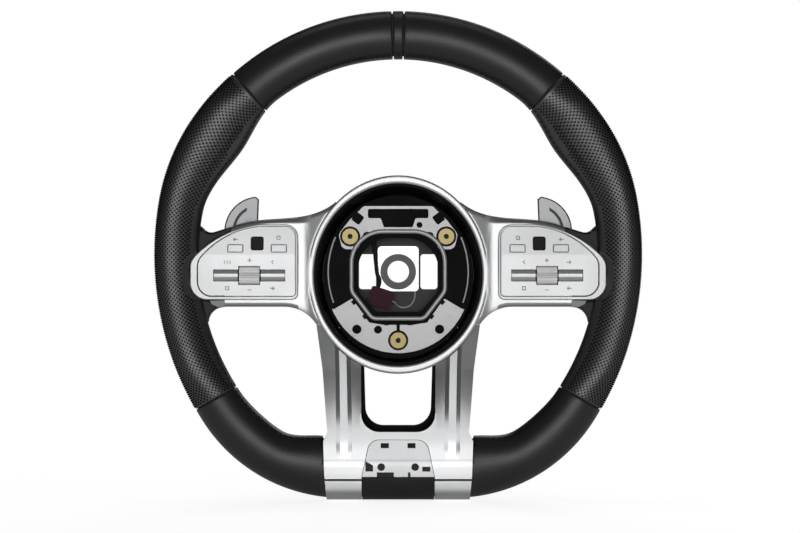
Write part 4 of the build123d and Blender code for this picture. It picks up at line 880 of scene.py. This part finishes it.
for sideName, places in signAndShadowPlaces.items():
    bm = bmesh.new()
    for shape, x, z in places:
        slope = faceSlope if z > signAndShadowStrokes["crease"] else 0.0  # the face leans back above its crease
        tilt = Matrix.Rotation(-atan2(slope, 1), 4, "X")
        for dx, dz, length, turn in signAndShadowShapes[shape]:
            front = signAndShadowStrokes["front"] + slope * (z + dz - signAndShadowStrokes["crease"])
            turned = Matrix.Rotation(radians(-turn), 4, "Y")
            place = Matrix.Translation((x + dx, front, z + dz)) @ tilt @ turned
            size = Matrix.Diagonal((length, signAndShadowStrokes["thick"], signAndShadowStrokes["stroke"], 1))
            bmesh.ops.create_cube(bm, size=1.0, matrix=place @ size)
    addPiece(bm, "panelSignsAndShadows." + sideName, ["signAndShadowGrey"])
print("signs done")

# floor, world and lamps
white = (1, 1, 1, 1)
ground = {"drop": 0.0006, "half": 6.0, "colour": (0.86, 0.86, 0.86), "roughness": 0.9,
          "specular": 0.1, "glow": 0.83, "mirrored": 0.20, "near": 0.28, "far": 0.75}
bm = bmesh.new()
bmesh.ops.create_grid(bm, x_segments=1, y_segments=1, size=ground["half"])
bmesh.ops.translate(bm, vec=(0, 0, cadBox[0][2] - ground["drop"]), verts=bm.verts)
floorMesh = bpy.data.meshes.new("floor")
bm.to_mesh(floorMesh)
bm.free()
floor = bpy.data.objects.new("floor", floorMesh)
bpy.context.scene.collection.objects.link(floor)
floorMaterial, flow, shader = startMaterial("paleFloor", ground["colour"], ground["roughness"], 0.0,
                                            ground["specular"])
seenRay = flow.make("ShaderNodeLightPath")
glossyRay = flow.make("ShaderNodeLightPath", {}, {}, out=3)
path = seenRay + ground["mirrored"] * glossyRay
plain = Flow(flow.tree, shader.outputs[0])
glow = flow.make("ShaderNodeEmission", {}, {"Color": white, "Strength": ground["glow"]})
bright = flow.make("ShaderNodeEmission", {}, {"Color": white, "Strength": 1.0})
reach = flow.make("ShaderNodeVectorMath", {"operation": "LENGTH"}, {0: objectVector(flow)}, out=1)
lit = flow.make("ShaderNodeAddShader", {}, {0: plain, 1: glow})
far = reach.band(ground["near"], ground["far"])
faded = flow.make("ShaderNodeMixShader", {}, {0: far, 1: lit, 2: bright})
seen = flow.make("ShaderNodeMixShader", {}, {0: path, 1: plain, 2: faded})
flow.tree.links.new(seen.socket, flow.tree.nodes["Material Output"].inputs[0])
floorMesh.materials.append(floorMaterial)

sky = {"behind": 0.05, "before": 0.13, "blend": (-0.3, 0.8), "colour": (0.97, 0.98, 1.0, 1)}
world = bpy.data.worlds.new("studio")
bpy.context.scene.world = world
world.use_nodes = True
flow = Flow(world.node_tree)
cameraRay = flow.make("ShaderNodeLightPath", {}, {}, out=0)
ray = flow.make("ShaderNodeTexCoord", {}, {}, out=0)
ahead = flow.make("ShaderNodeSeparateXYZ", {}, {0: ray}, out=1)
glow = sky["behind"] + (sky["before"] - sky["behind"]) * (0 - ahead).band(*sky["blend"])
soft = flow.make("ShaderNodeBackground", {}, {"Color": sky["colour"], "Strength": glow})
bright = flow.make("ShaderNodeBackground", {}, {"Color": white, "Strength": 1.0})
mixed = flow.make("ShaderNodeMixShader", {}, {0: cameraRay, 1: soft, 2: bright})
world.node_tree.links.new(mixed.socket, world.node_tree.nodes["World Output"].inputs[0])

lampAim = Vector((0, -0.05, 0.0))
lamps = {
    "front": {"at": (-0.03, -2.4, 0.06), "size": (1.25, 0.72), "power": 10.8},
    "top": {"at": (0.0, 0.1, 1.6), "size": (1.4, 0.5), "power": 1.8},
    "back": {"at": (0.4, 1.5, 0.9), "size": (1.2, 0.8), "power": 4.0},
}
for lampName, lamp in lamps.items():
    light = bpy.data.lights.new(lampName, "AREA")
    light.shape = "RECTANGLE"
    light.size, light.size_y = lamp["size"]
    light.energy = lamp["power"]
    lampObject = bpy.data.objects.new(lampName, light)
    lampObject.location = lamp["at"]
    lampObject.rotation_euler = (lampAim - Vector(lamp["at"])).to_track_quat("-Z", "Y").to_euler()
    bpy.context.scene.collection.objects.link(lampObject)
bpy.context.scene.view_settings.view_transform = "Standard"
print("stage done")
